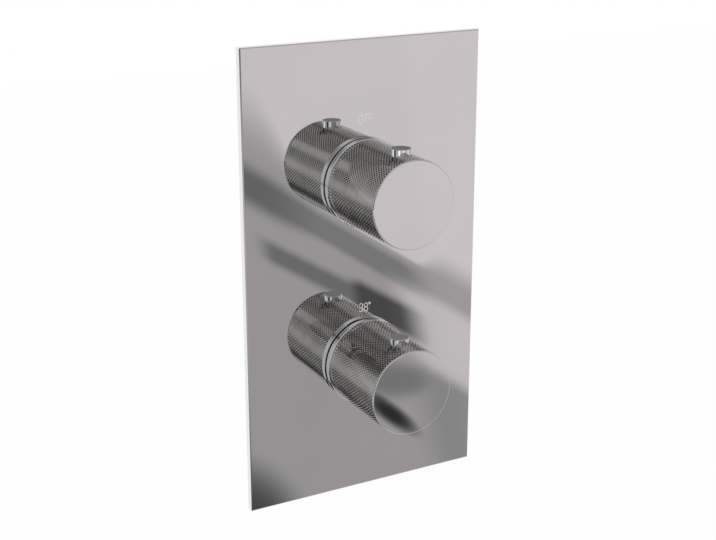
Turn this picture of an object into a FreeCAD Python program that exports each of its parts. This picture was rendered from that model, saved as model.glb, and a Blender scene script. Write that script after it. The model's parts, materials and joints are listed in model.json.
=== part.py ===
import FreeCAD, Part
import math
import os

V = FreeCAD.Vector

# Concealed thermostatic shower valve with two handles. Millimetres.
# +Z is up, +X is right as seen from the front, -Y points at the user, and y = 0 is the finished wall.
# The origin is the centre of the cover plate's wall side.

# cover plate
PLATE_WIDTH = 120.0
PLATE_HEIGHT = 218.0
PLATE_THICKNESS = 4.0
PLATE_BEVEL = 0.5
PLATE_HOLE_MARGIN = 2.0       # round a guide sleeve
GASKET_INSET = 4.0
GASKET_WIDTH = 6.0
GASKET_DEPTH = 1.5
MARK_DEPTH = 0.15
MARK_STROKE = 0.42
MARK_HEIGHT = 4.4
OFF_MARK_RISE = 29.4          # centre of the OFF mark above the upper handle's axis
DEGREE_MARK_RISE = 26.4       # centre of the 38 degree mark above the lower handle's axis

# handles
HANDLE_SPACING = 87.0
HANDLE_REACH = 44.8           # from the plate's front face to the handle's front face
HANDLE_GAP = 0.7
BASE_RING_R = 20.8
BASE_RING_LENGTH = 3.0
BARREL_R = 20.15              # over the knurl's crests
BARREL_WALL = 2.15
CAP_SETBACK = 0.2             # how far the cap's rim lies inside the crests
CAP_LIP = 0.8
CAP_ROUND = 0.45
CAP_SPIGOT_WALL = 2.4
CORE_LAND = 4.0               # width of the core's front face, round its pocket
FRONT_POCKET_DEPTH = 4.7
WEB_THICKNESS = 13.5
HUB_R = 9.5
HUB_LENGTH = 8.0
ADAPTER_FLATS = 10.6          # hexagon across flats
ADAPTER_LENGTH = 14.0
ADAPTER_FLOOR = 2.0
SCREW_R = 1.95
SCREW_LENGTH = 13.0
SCREW_HEAD_R = 3.5
SCREW_HEAD_HEIGHT = 3.0

# push buttons
BUTTON_R = 4.45
BUTTON_STAND = 2.6            # how far the button stands out of the barrel
BUTTON_BACK = 12.0            # from the handle's front face to the button's axis
BUTTON_TRAVEL = 1.5
BUTTON_HEAD_LENGTH = 4.15
BUTTON_SPRING_SPACE = 3.2
BUTTON_LEDGE = 1.2
BUTTON_STEM_R = 2.5
CATCH_THICKNESS = 2.0
CATCH_WIDTH = 6.4
CATCH_LENGTH = 21.3           # from the button's axis back to the catch's nose

# stop rings on the cartridge noses
STOP_LUG_STAND = 1.4          # how far the stop ring reaches beyond the catch
STOP_RING_GAP = 0.5           # round the stop ring, inside the core
STOP_RING_THICKNESS = 2.6
STOP_LUG_LENGTH = 4.6
FLOW_RANGE = 90.0
TEMPERATURE_COLD = 180.0
TEMPERATURE_HOT = 60.0
STOP_MARGIN = 3.0

# cartridges, along the handles' axes
NOSE_FRONT = -14.0            # y of the nose's front end
NOSE_R = 9.9
NOSE_TIP_R = 7.5
NOSE_TIP_LENGTH = 3.0
SPINDLE_R = 5.0
SPLINE_R = 4.0
SPLINE_TEETH = 18
SPLINE_DEPTH = 0.4
SPINDLE_FRONT = -31.3
NUT_FRONT = 1.0
SLEEVE_STEP = 0.4             # how far the guide sleeve lies inside the stop ring's rim
SLEEVE_WALL = 1.2
NUT_GAP = 0.1                 # between the ring nut and the guide sleeve
SLEEVE_FRONT = -9.5
FLANGE_LENGTH = 4.0

# valve body, behind the wall
BODY_FRONT = 10.0
BODY_BACK = 62.0
BODY_THREAD_LENGTH = 6.0
FLOW_CHAMBER_R = 13.5
FLOW_CHAMBER_FLOOR = 42.0
TEMPERATURE_CHAMBER_R = 15.0
TEMPERATURE_CHAMBER_FLOOR = 45.5
CHAMBER_WALL = 5.0
CHANNEL_R = 6.0
CHANNEL_Y = 52.0
POCKET_R = 7.5
LINK_HALF_WIDTH = 14.0
PORT_Y = 28.0                 # inlet and outlet axes behind the wall face
PORT_BOSS_R = 12.8
INLET_REACH = 42.0            # from the body's middle to an inlet's mouth
OUTLET_REACH = 45.0           # from the upper handle's axis to the outlet's mouth
THREAD_BORE_R = 9.3155        # minor radius of a half-inch parallel pipe thread
THREAD_LENGTH = 12.5
CHECK_BORE_R = 8.2
CHECK_BORE_LENGTH = 11.0
INLET_PORT_R = 2.8
INLET_PORT_SHIFT = 5.0        # hot port in front of the inlet's axis, cold port behind it
OUTLET_PORT_R = 6.5
PLUG_THREAD_R = 6.8
PLUG_LENGTH = 8.0
PLUG_HEAD_R = 9.0
PLUG_HEAD_HEIGHT = 4.0
PLUG_REACH = 27.0             # from the lower handle's axis to the plug's seat

# fixing bracket
BRACKET_THICKNESS = 2.0
BRACKET_SIDE_MARGIN = 7.0     # from the wall holes' centres to the sides
BRACKET_END_MARGIN = 10.0     # from the wall holes' centres to the ends
WALL_HOLE_R = 2.75
WALL_HOLE_SPACING_X = 46.0
WALL_HOLE_SPACING_Z = 144.0
BODY_SCREW_R = 1.95
BODY_SCREW_HEAD_R = 3.8
BODY_SCREW_LENGTH = 10.0
BODY_SCREW_SPACING_X = 20.0
BODY_SCREW_SPACING_Z = 60.0

# fits
PRESS_GAP = 0.03              # pieces pushed or screwed together
RUNNING_GAP = 0.05            # shaft in its bearing
BUTTON_GAP = 0.1              # button in its bore
LOOSE_GAP = 0.3               # pieces that pass each other

FLOW_Z = HANDLE_SPACING / 2
TEMPERATURE_Z = -HANDLE_SPACING / 2

PLATE_FRONT = -PLATE_THICKNESS
RING_BACK = PLATE_FRONT - HANDLE_GAP
RING_FRONT = RING_BACK - BASE_RING_LENGTH
HANDLE_FRONT = PLATE_FRONT - HANDLE_REACH
BARREL_FRONT = HANDLE_FRONT + CAP_LIP
WEB_FRONT = BARREL_FRONT + FRONT_POCKET_DEPTH
WEB_BACK = WEB_FRONT + WEB_THICKNESS
HUB_BACK = WEB_BACK + HUB_LENGTH
CORE_R = BARREL_R - BARREL_WALL
CAP_R = BARREL_R - CAP_SETBACK
FRONT_POCKET_R = CORE_R - CORE_LAND
BUTTON_Y = HANDLE_FRONT + BUTTON_BACK
NOSE_SEAT = NOSE_FRONT + NOSE_TIP_LENGTH
FLANGE_FRONT = BODY_FRONT + BODY_THREAD_LENGTH
FLANGE_BACK = FLANGE_FRONT + FLANGE_LENGTH
ADAPTER_FRONT = SPINDLE_FRONT - PRESS_GAP - ADAPTER_FLOOR

# heights of the button's pieces above the handle's axis
BUTTON_TOP = BARREL_R + BUTTON_STAND
BUTTON_UNDERSIDE = BUTTON_TOP - BUTTON_HEAD_LENGTH
LEDGE_TOP = BUTTON_UNDERSIDE - BUTTON_SPRING_SPACE
LEDGE_BOTTOM = LEDGE_TOP - BUTTON_LEDGE
CATCH_TOP = LEDGE_BOTTOM - 0.2
CATCH_BOTTOM = CATCH_TOP - CATCH_THICKNESS
CATCH_CHANNEL_BOTTOM = CATCH_BOTTOM - BUTTON_TRAVEL - LOOSE_GAP

# radii that follow from the catch's height
STOP_RING_R = CATCH_TOP + STOP_LUG_STAND
CAVITY_R = STOP_RING_R + STOP_RING_GAP
SLEEVE_R = STOP_RING_R - SLEEVE_STEP
PLATE_HOLE_R = SLEEVE_R + PLATE_HOLE_MARGIN
NUT_R = SLEEVE_R - SLEEVE_WALL - NUT_GAP


# ---- shapes ------------------------------------------------------------------------------------

def fuse(shapes):
    return shapes[0].multiFuse(shapes[1:]).removeSplitter()


def rod(radius, front, back, z=0.0, x=0.0):
    """A cylinder along Y, from y = front to y = back."""
    return Part.makeCylinder(radius, back - front, V(x, front, z), V(0, 1, 0))


def rod_x(radius, start, end, y, z):
    return Part.makeCylinder(radius, abs(end - start), V(start, y, z), V(1 if end > start else -1, 0, 0))


def rod_z(radius, low, high, x, y):
    return Part.makeCylinder(radius, high - low, V(x, y, low), V(0, 0, 1))


def block(x0, x1, y0, y1, z0, z1):
    return Part.makeBox(x1 - x0, y1 - y0, z1 - z0, V(x0, y0, z0))


def turned(profile, z):
    """A solid turned about the Y axis at height z, from (y, radius) corners."""
    points = [V(0, y, z + radius) for y, radius in profile]
    face = Part.Face(Part.makePolygon(points + points[:1]))
    return face.revolve(V(0, 0, z), V(0, 1, 0), 360)


def turned_x(profile, y, z):
    """A solid turned about the X axis at (y, z), from (x, radius) corners."""
    points = [V(x, y, z + radius) for x, radius in profile]
    face = Part.Face(Part.makePolygon(points + points[:1]))
    return face.revolve(V(0, y, z), V(1, 0, 0), 360)


def seal_ring(mid_radius, section_radius, y, z):
    return Part.makeTorus(mid_radius, section_radius, V(0, y, z), V(0, 1, 0))


def prism_y(points, front, back):
    """A prism along Y from a closed outline of (x, z) corners."""
    corners = [V(x, front, z) for x, z in points]
    return Part.Face(Part.makePolygon(corners + corners[:1])).extrude(V(0, back - front, 0))


def hexagon(flats, z):
    corner = flats / math.sqrt(3)
    angles = [math.radians(60 * k) for k in range(6)]
    return [(corner * math.cos(a), z + corner * math.sin(a)) for a in angles]


def spline_outline(radius, z):
    """Outline of a toothed shaft: one crest and one root for each tooth."""
    outline = []
    for k in range(2 * SPLINE_TEETH):
        r = radius if k % 2 == 0 else radius - SPLINE_DEPTH
        a = math.pi * k / SPLINE_TEETH
        outline.append((r * math.cos(a), z + r * math.sin(a)))
    return outline


def sector(inner, outer, start, end, front, back, z):
    """A piece of ring between two angles, seen from the front, anticlockwise from three o'clock."""
    ring = rod(outer, front, back, z).cut(rod(inner, front - 1, back + 1, z))
    reach = 2 * outer
    steps = max(2, math.ceil((end - start) / 60))
    outline = [(0.0, z)]
    for k in range(steps + 1):
        a = math.radians(start + (end - start) * k / steps)
        outline.append((reach * math.cos(a), z + reach * math.sin(a)))
    return ring.common(prism_y(outline, front - 1, back + 1))


def coil(mid_radius, wire_radius, length, turns):
    """An open coil spring along Z, from z = 0 to z = length; its wire has eight flats."""
    pitch = (length - 2 * wire_radius) / turns
    path = Part.Wire(Part.makeHelix(pitch, pitch * turns, mid_radius))
    angles = [math.pi * (2 * k + 1) / 8 for k in range(8)]
    corners = [V(mid_radius + wire_radius * math.cos(a), 0, wire_radius * math.sin(a)) for a in angles]
    section = Part.makePolygon(corners + corners[:1])
    spring = path.makePipeShell([section], True, True)
    spring.translate(V(0, 0, wire_radius))
    return spring


def coil_y(mid_radius, wire_radius, front, back, turns, z):
    spring = coil(mid_radius, wire_radius, back - front, turns)
    spring.rotate(V(0, 0, 0), V(1, 0, 0), -90)
    spring.translate(V(0, front, z))
    return spring


def bevelled(shape, size, chosen):
    edges = [e for e in shape.Edges if chosen(e)]
    return shape.makeChamfer(size, edges)


def at_y(edge, y):
    box = edge.BoundBox
    return abs(box.YMin - y) < 1e-4 and abs(box.YMax - y) < 1e-4


# ---- cover plate -------------------------------------------------------------------------------

def gasket_ring(depth):
    """The foam strip's place in the plate's back, a rectangular ring."""
    x1 = PLATE_WIDTH / 2 - GASKET_INSET
    z1 = PLATE_HEIGHT / 2 - GASKET_INSET
    x2 = x1 - GASKET_WIDTH
    z2 = z1 - GASKET_WIDTH
    return block(-x1, x1, -depth, 0, -z1, z1).cut(block(-x2, x2, -depth, 0, -z2, z2))


def cover_plate():
    half_w = PLATE_WIDTH / 2
    half_h = PLATE_HEIGHT / 2
    plate = block(-half_w, half_w, PLATE_FRONT, 0, -half_h, half_h)
    plate = bevelled(plate, PLATE_BEVEL, lambda e: at_y(e, PLATE_FRONT))
    for z in (FLOW_Z, TEMPERATURE_Z):
        plate = plate.cut(rod(PLATE_HOLE_R, PLATE_FRONT - 1, 1, z))
    plate = plate.cut(gasket_ring(GASKET_DEPTH))
    return plate.cut(plate_marks())


def bar(x0, z0, x1, z1):
    """One straight stroke of a mark."""
    half = MARK_STROKE / 2
    back = PLATE_FRONT + MARK_DEPTH
    if x0 == x1:
        return block(x0 - half, x0 + half, PLATE_FRONT, back, z0, z1)
    return block(x0, x1, PLATE_FRONT, back, z0 - half, z0 + half)


def ring_stroke(x, z, half_width, half_height):
    """An oval stroke: the ring between two ellipses."""
    back = PLATE_FRONT + MARK_DEPTH

    def oval(a, b):
        upright = b > a
        long, short = (b, a) if upright else (a, b)
        if abs(a - b) < 1e-6:
            edge = Part.makeCircle(a, V(0, 0, 0), V(0, 1, 0))
        else:
            edge = Part.Ellipse(V(0, 0, 0), long, short).toShape()
            edge.rotate(V(0, 0, 0), V(1, 0, 0), 90)
            if upright:
                edge.rotate(V(0, 0, 0), V(0, 1, 0), 90)
        solid = Part.Face(Part.Wire(edge)).extrude(V(0, MARK_DEPTH, 0))
        solid.translate(V(x, PLATE_FRONT - solid.BoundBox.YMin, z))
        return solid

    ring = oval(half_width, half_height).cut(oval(half_width - MARK_STROKE, half_height - MARK_STROKE))
    return ring.common(block(x - 9, x + 9, PLATE_FRONT, back, z - 9, z + 9))


def letter_f(x, z):
    """An F whose stem stands at x and whose middle height is z."""
    half = MARK_HEIGHT / 2
    stroke = MARK_STROKE / 2
    top = bar(x - stroke, z + half - stroke, x + 0.42 * MARK_HEIGHT, z + half - stroke)
    middle = bar(x - stroke, z + 0.05 * MARK_HEIGHT, x + 0.38 * MARK_HEIGHT, z + 0.05 * MARK_HEIGHT)
    return fuse([bar(x, z - half, x, z + half), top, middle])


def digit_rings(x, z):
    """The two ovals, one above the other, of an 8; a 3 is the same with its left side open."""
    lower_half = 0.28 * MARK_HEIGHT
    upper_half = MARK_HEIGHT / 2 - lower_half + MARK_STROKE / 2
    low = ring_stroke(x, z - MARK_HEIGHT / 2 + lower_half, 0.27 * MARK_HEIGHT, lower_half)
    high = ring_stroke(x, z + MARK_HEIGHT / 2 - upper_half, 0.245 * MARK_HEIGHT, upper_half)
    return fuse([low, high])


def digit_three(x, z):
    half = MARK_HEIGHT / 2
    opening = block(x - half, x - 0.02 * MARK_HEIGHT, PLATE_FRONT - 1, 0, z - 0.29 * MARK_HEIGHT,
                    z + 0.31 * MARK_HEIGHT)
    return digit_rings(x, z).cut(opening)


def plate_marks():
    """White fillings of the marks: OFF above the upper handle, 38 and a degree sign above the lower."""
    h = MARK_HEIGHT
    z = FLOW_Z + OFF_MARK_RISE
    off = [ring_stroke(-0.46 * h, z, 0.27 * h, 0.5 * h), letter_f(0.08 * h, z), letter_f(0.58 * h, z)]
    z = TEMPERATURE_Z + DEGREE_MARK_RISE
    degrees = [digit_three(-0.43 * h, z), digit_rings(0.16 * h, z),
               ring_stroke(0.6 * h, z + 0.36 * h, 0.15 * h, 0.15 * h)]
    return Part.makeCompound(off + degrees)


def plate_gasket():
    return gasket_ring(GASKET_DEPTH)


def guide_sleeve(z):
    """The tube round a cartridge that comes through the plate."""
    back = BODY_FRONT - PRESS_GAP
    sleeve = rod(SLEEVE_R, SLEEVE_FRONT, back, z)
    return sleeve.cut(rod(SLEEVE_R - SLEEVE_WALL, SLEEVE_FRONT - 1, back + 1, z))


def plate_seal(z):
    section = (PLATE_HOLE_R - SLEEVE_R) / 2 - PRESS_GAP
    return seal_ring((PLATE_HOLE_R + SLEEVE_R) / 2, section, PLATE_FRONT / 2, z)


# ---- handles -----------------------------------------------------------------------------------

def handle_core(z):
    """The core with its polished base ring, a web with the button's bore, and the adapter's hub."""
    chamfer = 0.25
    core = turned([
        (RING_BACK, CAVITY_R), (RING_BACK, BASE_RING_R - chamfer), (RING_BACK - chamfer, BASE_RING_R),
        (RING_FRONT + chamfer, BASE_RING_R), (RING_FRONT, BASE_RING_R - chamfer), (RING_FRONT, CORE_R),
        (BARREL_FRONT, CORE_R), (BARREL_FRONT, FRONT_POCKET_R), (WEB_FRONT, FRONT_POCKET_R),
        (WEB_FRONT, 0), (HUB_BACK, 0), (HUB_BACK, HUB_R), (WEB_BACK, HUB_R), (WEB_BACK, CAVITY_R),
    ], z)
    socket = prism_y(hexagon(ADAPTER_FLATS + 2 * PRESS_GAP, z), ADAPTER_FRONT - PRESS_GAP, HUB_BACK + 1)
    screw_hole = rod(SCREW_R + BUTTON_GAP, WEB_FRONT - 1, HUB_BACK, z)
    head_front = ADAPTER_FRONT - ADAPTER_FLOOR - SCREW_HEAD_HEIGHT
    head_pocket = rod(SCREW_HEAD_R + LOOSE_GAP, WEB_FRONT - 1, head_front + SCREW_HEAD_HEIGHT, z)
    button_bore = rod_z(BUTTON_R + BUTTON_GAP, z + LEDGE_TOP, z + BARREL_R, 0, BUTTON_Y)
    stem_bore = rod_z(BUTTON_STEM_R + BUTTON_GAP, z + CATCH_BOTTOM, z + BARREL_R, 0, BUTTON_Y)
    half = CATCH_WIDTH / 2 + LOOSE_GAP
    channel = block(-half, half, BUTTON_Y, WEB_BACK + 1, z + CATCH_CHANNEL_BOTTOM, z + LEDGE_BOTTOM)
    channel_end = rod_z(half, z + CATCH_CHANNEL_BOTTOM, z + LEDGE_BOTTOM, 0, BUTTON_Y)
    return core.cut([socket, screw_hole, head_pocket, button_bore, stem_bore, channel, channel_end])


def handle_barrel(z):
    """The knurled sleeve; its crests lie on this plain cylinder."""
    lead = 0.2
    barrel = turned([
        (RING_FRONT, CORE_R + PRESS_GAP), (RING_FRONT, BARREL_R - lead), (RING_FRONT - lead, BARREL_R),
        (BARREL_FRONT + lead, BARREL_R), (BARREL_FRONT, BARREL_R - lead), (BARREL_FRONT, CORE_R + PRESS_GAP),
    ], z)
    return barrel.cut(rod_z(BUTTON_R + BUTTON_GAP, z + CORE_R / 2, z + BARREL_R + 1, 0, BUTTON_Y))


def cap_seal_groove_y():
    return (BARREL_FRONT + WEB_FRONT) / 2


CAP_SEAL_SECTION = 0.9


def handle_cap(z):
    """The flat front cap: a thin polished disc with a spigot and a seal groove behind it."""
    spigot_r = FRONT_POCKET_R - PRESS_GAP
    spigot_back = WEB_FRONT - LOOSE_GAP
    groove_y = cap_seal_groove_y()
    groove_r = FRONT_POCKET_R - 2 * CAP_SEAL_SECTION
    bore_r = spigot_r - CAP_SPIGOT_WALL
    cap = turned([
        (HANDLE_FRONT, 0), (HANDLE_FRONT, CAP_R), (BARREL_FRONT, CAP_R), (BARREL_FRONT, spigot_r),
        (groove_y - CAP_SEAL_SECTION, spigot_r), (groove_y - CAP_SEAL_SECTION, groove_r),
        (groove_y + CAP_SEAL_SECTION, groove_r), (groove_y + CAP_SEAL_SECTION, spigot_r),
        (spigot_back, spigot_r), (spigot_back, bore_r), (BARREL_FRONT + CAP_LIP, bore_r),
        (BARREL_FRONT + CAP_LIP, 0),
    ], z)
    rim = [e for e in cap.Edges if at_y(e, HANDLE_FRONT)]
    return cap.makeFillet(CAP_ROUND, rim)


def cap_seal(z):
    mid = FRONT_POCKET_R - CAP_SEAL_SECTION
    return seal_ring(mid, CAP_SEAL_SECTION - PRESS_GAP, cap_seal_groove_y(), z)


def handle_adapter(z):
    """A hexagonal bush, pushed in the core, with a toothed bore for the spindle."""
    back = ADAPTER_FRONT + ADAPTER_LENGTH
    adapter = prism_y(hexagon(ADAPTER_FLATS, z), ADAPTER_FRONT, back)
    bore = prism_y(spline_outline(SPLINE_R + RUNNING_GAP, z), SPINDLE_FRONT - PRESS_GAP, back + 1)
    return adapter.cut([bore, rod(SCREW_R + BUTTON_GAP, ADAPTER_FRONT - 1, SPINDLE_FRONT, z)])


def handle_screw(z):
    """The axial socket-head screw that clamps the core and the adapter on the spindle."""
    seat = ADAPTER_FRONT - ADAPTER_FLOOR
    head_front = seat - SCREW_HEAD_HEIGHT
    head = rod(SCREW_HEAD_R, head_front, seat, z)
    head = head.cut(prism_y(hexagon(3.0, z), head_front - 1, head_front + 2.0))
    return head.fuse(rod(SCREW_R, seat, seat + SCREW_LENGTH, z)).removeSplitter()


# ---- push buttons ------------------------------------------------------------------------------

def button(z):
    """A flat-topped round head on a stem that carries the catch."""
    head = rod_z(BUTTON_R, z + BUTTON_UNDERSIDE, z + BUTTON_TOP, 0, BUTTON_Y)
    top = [e for e in head.Edges if abs(e.BoundBox.ZMin - z - BUTTON_TOP) < 1e-4]
    head = head.makeFillet(0.25, top)
    stem = rod_z(BUTTON_STEM_R, z + CATCH_BOTTOM, z + BUTTON_UNDERSIDE, 0, BUTTON_Y)
    return head.fuse(stem)


def button_catch(z):
    """The plastic arm that runs back from the button's stem towards the stop ring."""
    half = CATCH_WIDTH / 2
    low = z + CATCH_BOTTOM
    high = z + CATCH_TOP
    eye = rod_z(half, low, high, 0, BUTTON_Y)
    arm = block(-half, half, BUTTON_Y, WEB_BACK, low, high)
    nose = block(-half / 2, half / 2, WEB_BACK, BUTTON_Y + CATCH_LENGTH, low, high)
    hole = rod_z(BUTTON_STEM_R + PRESS_GAP, low - 1, high + 1, 0, BUTTON_Y)
    return fuse([eye, arm, nose]).cut(hole)


def button_spring(z):
    wire = 0.2
    mid = (BUTTON_STEM_R + BUTTON_R) / 2
    spring = coil(mid, wire, BUTTON_SPRING_SPACE - 2 * PRESS_GAP, 3.5)
    spring.translate(V(0, BUTTON_Y, z + LEDGE_TOP + PRESS_GAP))
    return spring


# ---- stop rings --------------------------------------------------------------------------------

def stop_ring(z, travel_back, travel_on, low_lug_angle):
    """The ring on the nose: a tall lug beyond both ends of the travel, and a low one at its mark.

    Angles run anticlockwise as the user sees them, from the handle's place at rest.
    """
    back = NOSE_SEAT
    front = back - STOP_RING_THICKNESS
    lug_front = front - STOP_LUG_LENGTH
    ring = rod(STOP_RING_R, front, back, z).cut(rod(NOSE_TIP_R + PRESS_GAP, front - 1, back + 1, z))
    catch_half_angle = math.degrees(math.asin(CATCH_WIDTH / 4 / CATCH_BOTTOM))
    start = 90 + travel_on + catch_half_angle + STOP_MARGIN
    end = 450 - travel_back - catch_half_angle - STOP_MARGIN
    tall = sector(CATCH_BOTTOM, STOP_RING_R, start, end, lug_front, front, z)
    low_inner = CATCH_TOP + LOOSE_GAP
    low = sector(low_inner, STOP_RING_R, 90 + low_lug_angle, 102 + low_lug_angle, lug_front, front, z)
    return fuse([ring, tall, low])


# ---- spindles and their bearings ---------------------------------------------------------------

SPLINE_BACK = -16.5
SPINDLE_GROOVES = (-11.5, -8.5)
SPINDLE_SEAL_SECTION = 0.6


def spindle_front(z, journal_back):
    """The toothed end, tapped for the handle's screw, and the journal with two seal grooves."""
    teeth = prism_y(spline_outline(SPLINE_R, z), SPINDLE_FRONT, SPLINE_BACK)
    shaft = teeth.fuse(rod(SPINDLE_R, SPLINE_BACK, journal_back, z))
    tapped = rod(SCREW_R + PRESS_GAP, SPINDLE_FRONT - 1, SPINDLE_FRONT + SCREW_LENGTH, z)
    grooves = []
    for y in SPINDLE_GROOVES:
        half = SPINDLE_SEAL_SECTION
        ring = rod(SPINDLE_R + 1, y - half, y + half, z)
        grooves.append(ring.cut(rod(SPINDLE_R - 2 * SPINDLE_SEAL_SECTION, y - half, y + half, z)))
    return shaft.cut([tapped] + grooves)


def spindle_seals(z):
    mid = SPINDLE_R - SPINDLE_SEAL_SECTION
    section = SPINDLE_SEAL_SECTION - PRESS_GAP
    return Part.makeCompound([seal_ring(mid, section, y, z) for y in SPINDLE_GROOVES])


def cartridge_nut(chamber_r, z):
    """The ring nut that holds a cartridge in its chamber; the guide sleeve fits over it."""
    inner = NOSE_R + PRESS_GAP
    thread_r = chamber_r - PRESS_GAP
    return turned([
        (NUT_FRONT, inner), (NUT_FRONT, NUT_R), (BODY_FRONT, NUT_R), (BODY_FRONT, thread_r),
        (FLANGE_FRONT, thread_r), (FLANGE_FRONT, inner),
    ], z)


# ---- flow cartridge ----------------------------------------------------------------------------

FLOW_SKIRT_R = 11.6
FLOW_CAVITY_R = 9.5
FLOW_SHOULDER = 19.0
FLOW_WINDOW_HALF = 3.0
DISC_R = 9.1
DISC_THICKNESS = 3.0
DISC_FILM = 0.05
DISC_SLOT_DEPTH = 1.6
TONGUE_WIDTH = 9.0
TONGUE_THICKNESS = 4.0
BASE_SEAL_LENGTH = 3.0
BASE_SEAL_BORE_R = 6.4
FIXED_DISC_BACK = FLOW_CHAMBER_FLOOR - BASE_SEAL_LENGTH
FIXED_DISC_FRONT = FIXED_DISC_BACK - DISC_THICKNESS
MOVING_DISC_BACK = FIXED_DISC_FRONT - DISC_FILM
MOVING_DISC_FRONT = MOVING_DISC_BACK - DISC_THICKNESS


def flow_cartridge_housing():
    z = FLOW_Z
    groove_y = (FLANGE_FRONT + FLANGE_BACK) / 2
    flange_r = FLOW_CHAMBER_R - PRESS_GAP
    groove_r = FLOW_CHAMBER_R - 2 * CARTRIDGE_SEAL_SECTION
    skirt_back = FLOW_CHAMBER_FLOOR - 1.0
    half = CARTRIDGE_SEAL_SECTION
    housing = turned([
        (NOSE_FRONT, SPINDLE_R + RUNNING_GAP), (NOSE_FRONT, NOSE_TIP_R), (NOSE_SEAT, NOSE_TIP_R),
        (NOSE_SEAT, NOSE_R), (FLANGE_FRONT, NOSE_R), (FLANGE_FRONT, flange_r),
        (groove_y - half, flange_r), (groove_y - half, groove_r), (groove_y + half, groove_r),
        (groove_y + half, flange_r), (FLANGE_BACK, flange_r), (FLANGE_BACK, FLOW_SKIRT_R),
        (skirt_back, FLOW_SKIRT_R), (skirt_back, FLOW_CAVITY_R), (FLOW_SHOULDER, FLOW_CAVITY_R),
        (FLOW_SHOULDER, SPINDLE_R + RUNNING_GAP),
    ], z)
    windows = []
    for turn in (0, 90):
        window = block(-FLOW_SKIRT_R - 2, FLOW_SKIRT_R + 2, PORT_Y - FLOW_WINDOW_HALF,
                       PORT_Y + FLOW_WINDOW_HALF, z - 4.5, z + 4.5)
        window.rotate(V(0, 0, z), V(0, 1, 0), turn)
        windows.append(window)
    return housing.cut(windows)


CARTRIDGE_SEAL_SECTION = 1.0


def flow_cartridge_seals():
    mid = FLOW_CHAMBER_R - CARTRIDGE_SEAL_SECTION
    return seal_ring(mid, CARTRIDGE_SEAL_SECTION - PRESS_GAP, (FLANGE_FRONT + FLANGE_BACK) / 2, FLOW_Z)


def disc_with_ports(front, back, first_angle):
    """A ceramic disc with two opposite openings."""
    disc = rod(DISC_R, front, back, FLOW_Z)
    ports = []
    for half_turn in (0, 180):
        start = first_angle + half_turn - 38
        ports.append(sector(3.2, 7.6, start, start + 76, front - 1, back + 1, FLOW_Z))
    return disc.cut(ports)


def flow_moving_disc():
    disc = disc_with_ports(MOVING_DISC_FRONT, MOVING_DISC_BACK, 0)
    slot = block(-TONGUE_THICKNESS / 2 - PRESS_GAP, TONGUE_THICKNESS / 2 + PRESS_GAP,
                 MOVING_DISC_FRONT - 1, MOVING_DISC_FRONT + DISC_SLOT_DEPTH,
                 FLOW_Z - TONGUE_WIDTH / 2 - PRESS_GAP, FLOW_Z + TONGUE_WIDTH / 2 + PRESS_GAP)
    return disc.cut(slot)


def flow_fixed_disc():
    disc = disc_with_ports(FIXED_DISC_FRONT, FIXED_DISC_BACK, 90)
    keys = [block(side * (DISC_R - 0.6) - 0.6, side * (DISC_R - 0.6) + 0.6, FIXED_DISC_FRONT - 1,
                  FIXED_DISC_BACK + 1, FLOW_Z - 1, FLOW_Z + 1) for side in (-1, 1)]
    return disc.cut(keys)


def flow_base_seal():
    seal = rod(DISC_R, FIXED_DISC_BACK, FLOW_CHAMBER_FLOOR, FLOW_Z)
    return seal.cut(rod(BASE_SEAL_BORE_R, FIXED_DISC_BACK - 1, FLOW_CHAMBER_FLOOR + 1, FLOW_Z))


def flow_spindle():
    z = FLOW_Z
    flange_front = FLOW_SHOULDER + RUNNING_GAP
    flange_back = flange_front + 2.8
    shaft = spindle_front(z, flange_front)
    flange = rod(FLOW_CAVITY_R - LOOSE_GAP - 1.0, flange_front, flange_back, z)
    tongue_back = MOVING_DISC_FRONT + DISC_SLOT_DEPTH - PRESS_GAP
    tongue = block(-TONGUE_THICKNESS / 2, TONGUE_THICKNESS / 2, flange_back, tongue_back,
                   z - TONGUE_WIDTH / 2, z + TONGUE_WIDTH / 2)
    return fuse([shaft, flange, tongue])


# ---- thermostatic cartridge --------------------------------------------------------------------

HOT_PORT_Y = PORT_Y - INLET_PORT_SHIFT
COLD_PORT_Y = PORT_Y + INLET_PORT_SHIFT
WINDOW_HALF = 1.5
NOSE_CAVITY_R = 8.4
NOSE_CAVITY_FRONT = -6.0
SPOOL_BORE_R = 11.5
BASE_FRONT = 40.5
HOUSING_BACK = TEMPERATURE_CHAMBER_FLOOR - 0.5
TEMPERATURE_SEAL_YS = (FLANGE_FRONT + 2.0, PORT_Y, COLD_PORT_Y + 5.5)
CAP_SPRING_BACK = 13.0
PISTON_R = 1.8
CAPSULE_R = 4.5
COLLAR_R = 6.0
WASHER_THICKNESS = 2.0


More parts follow.
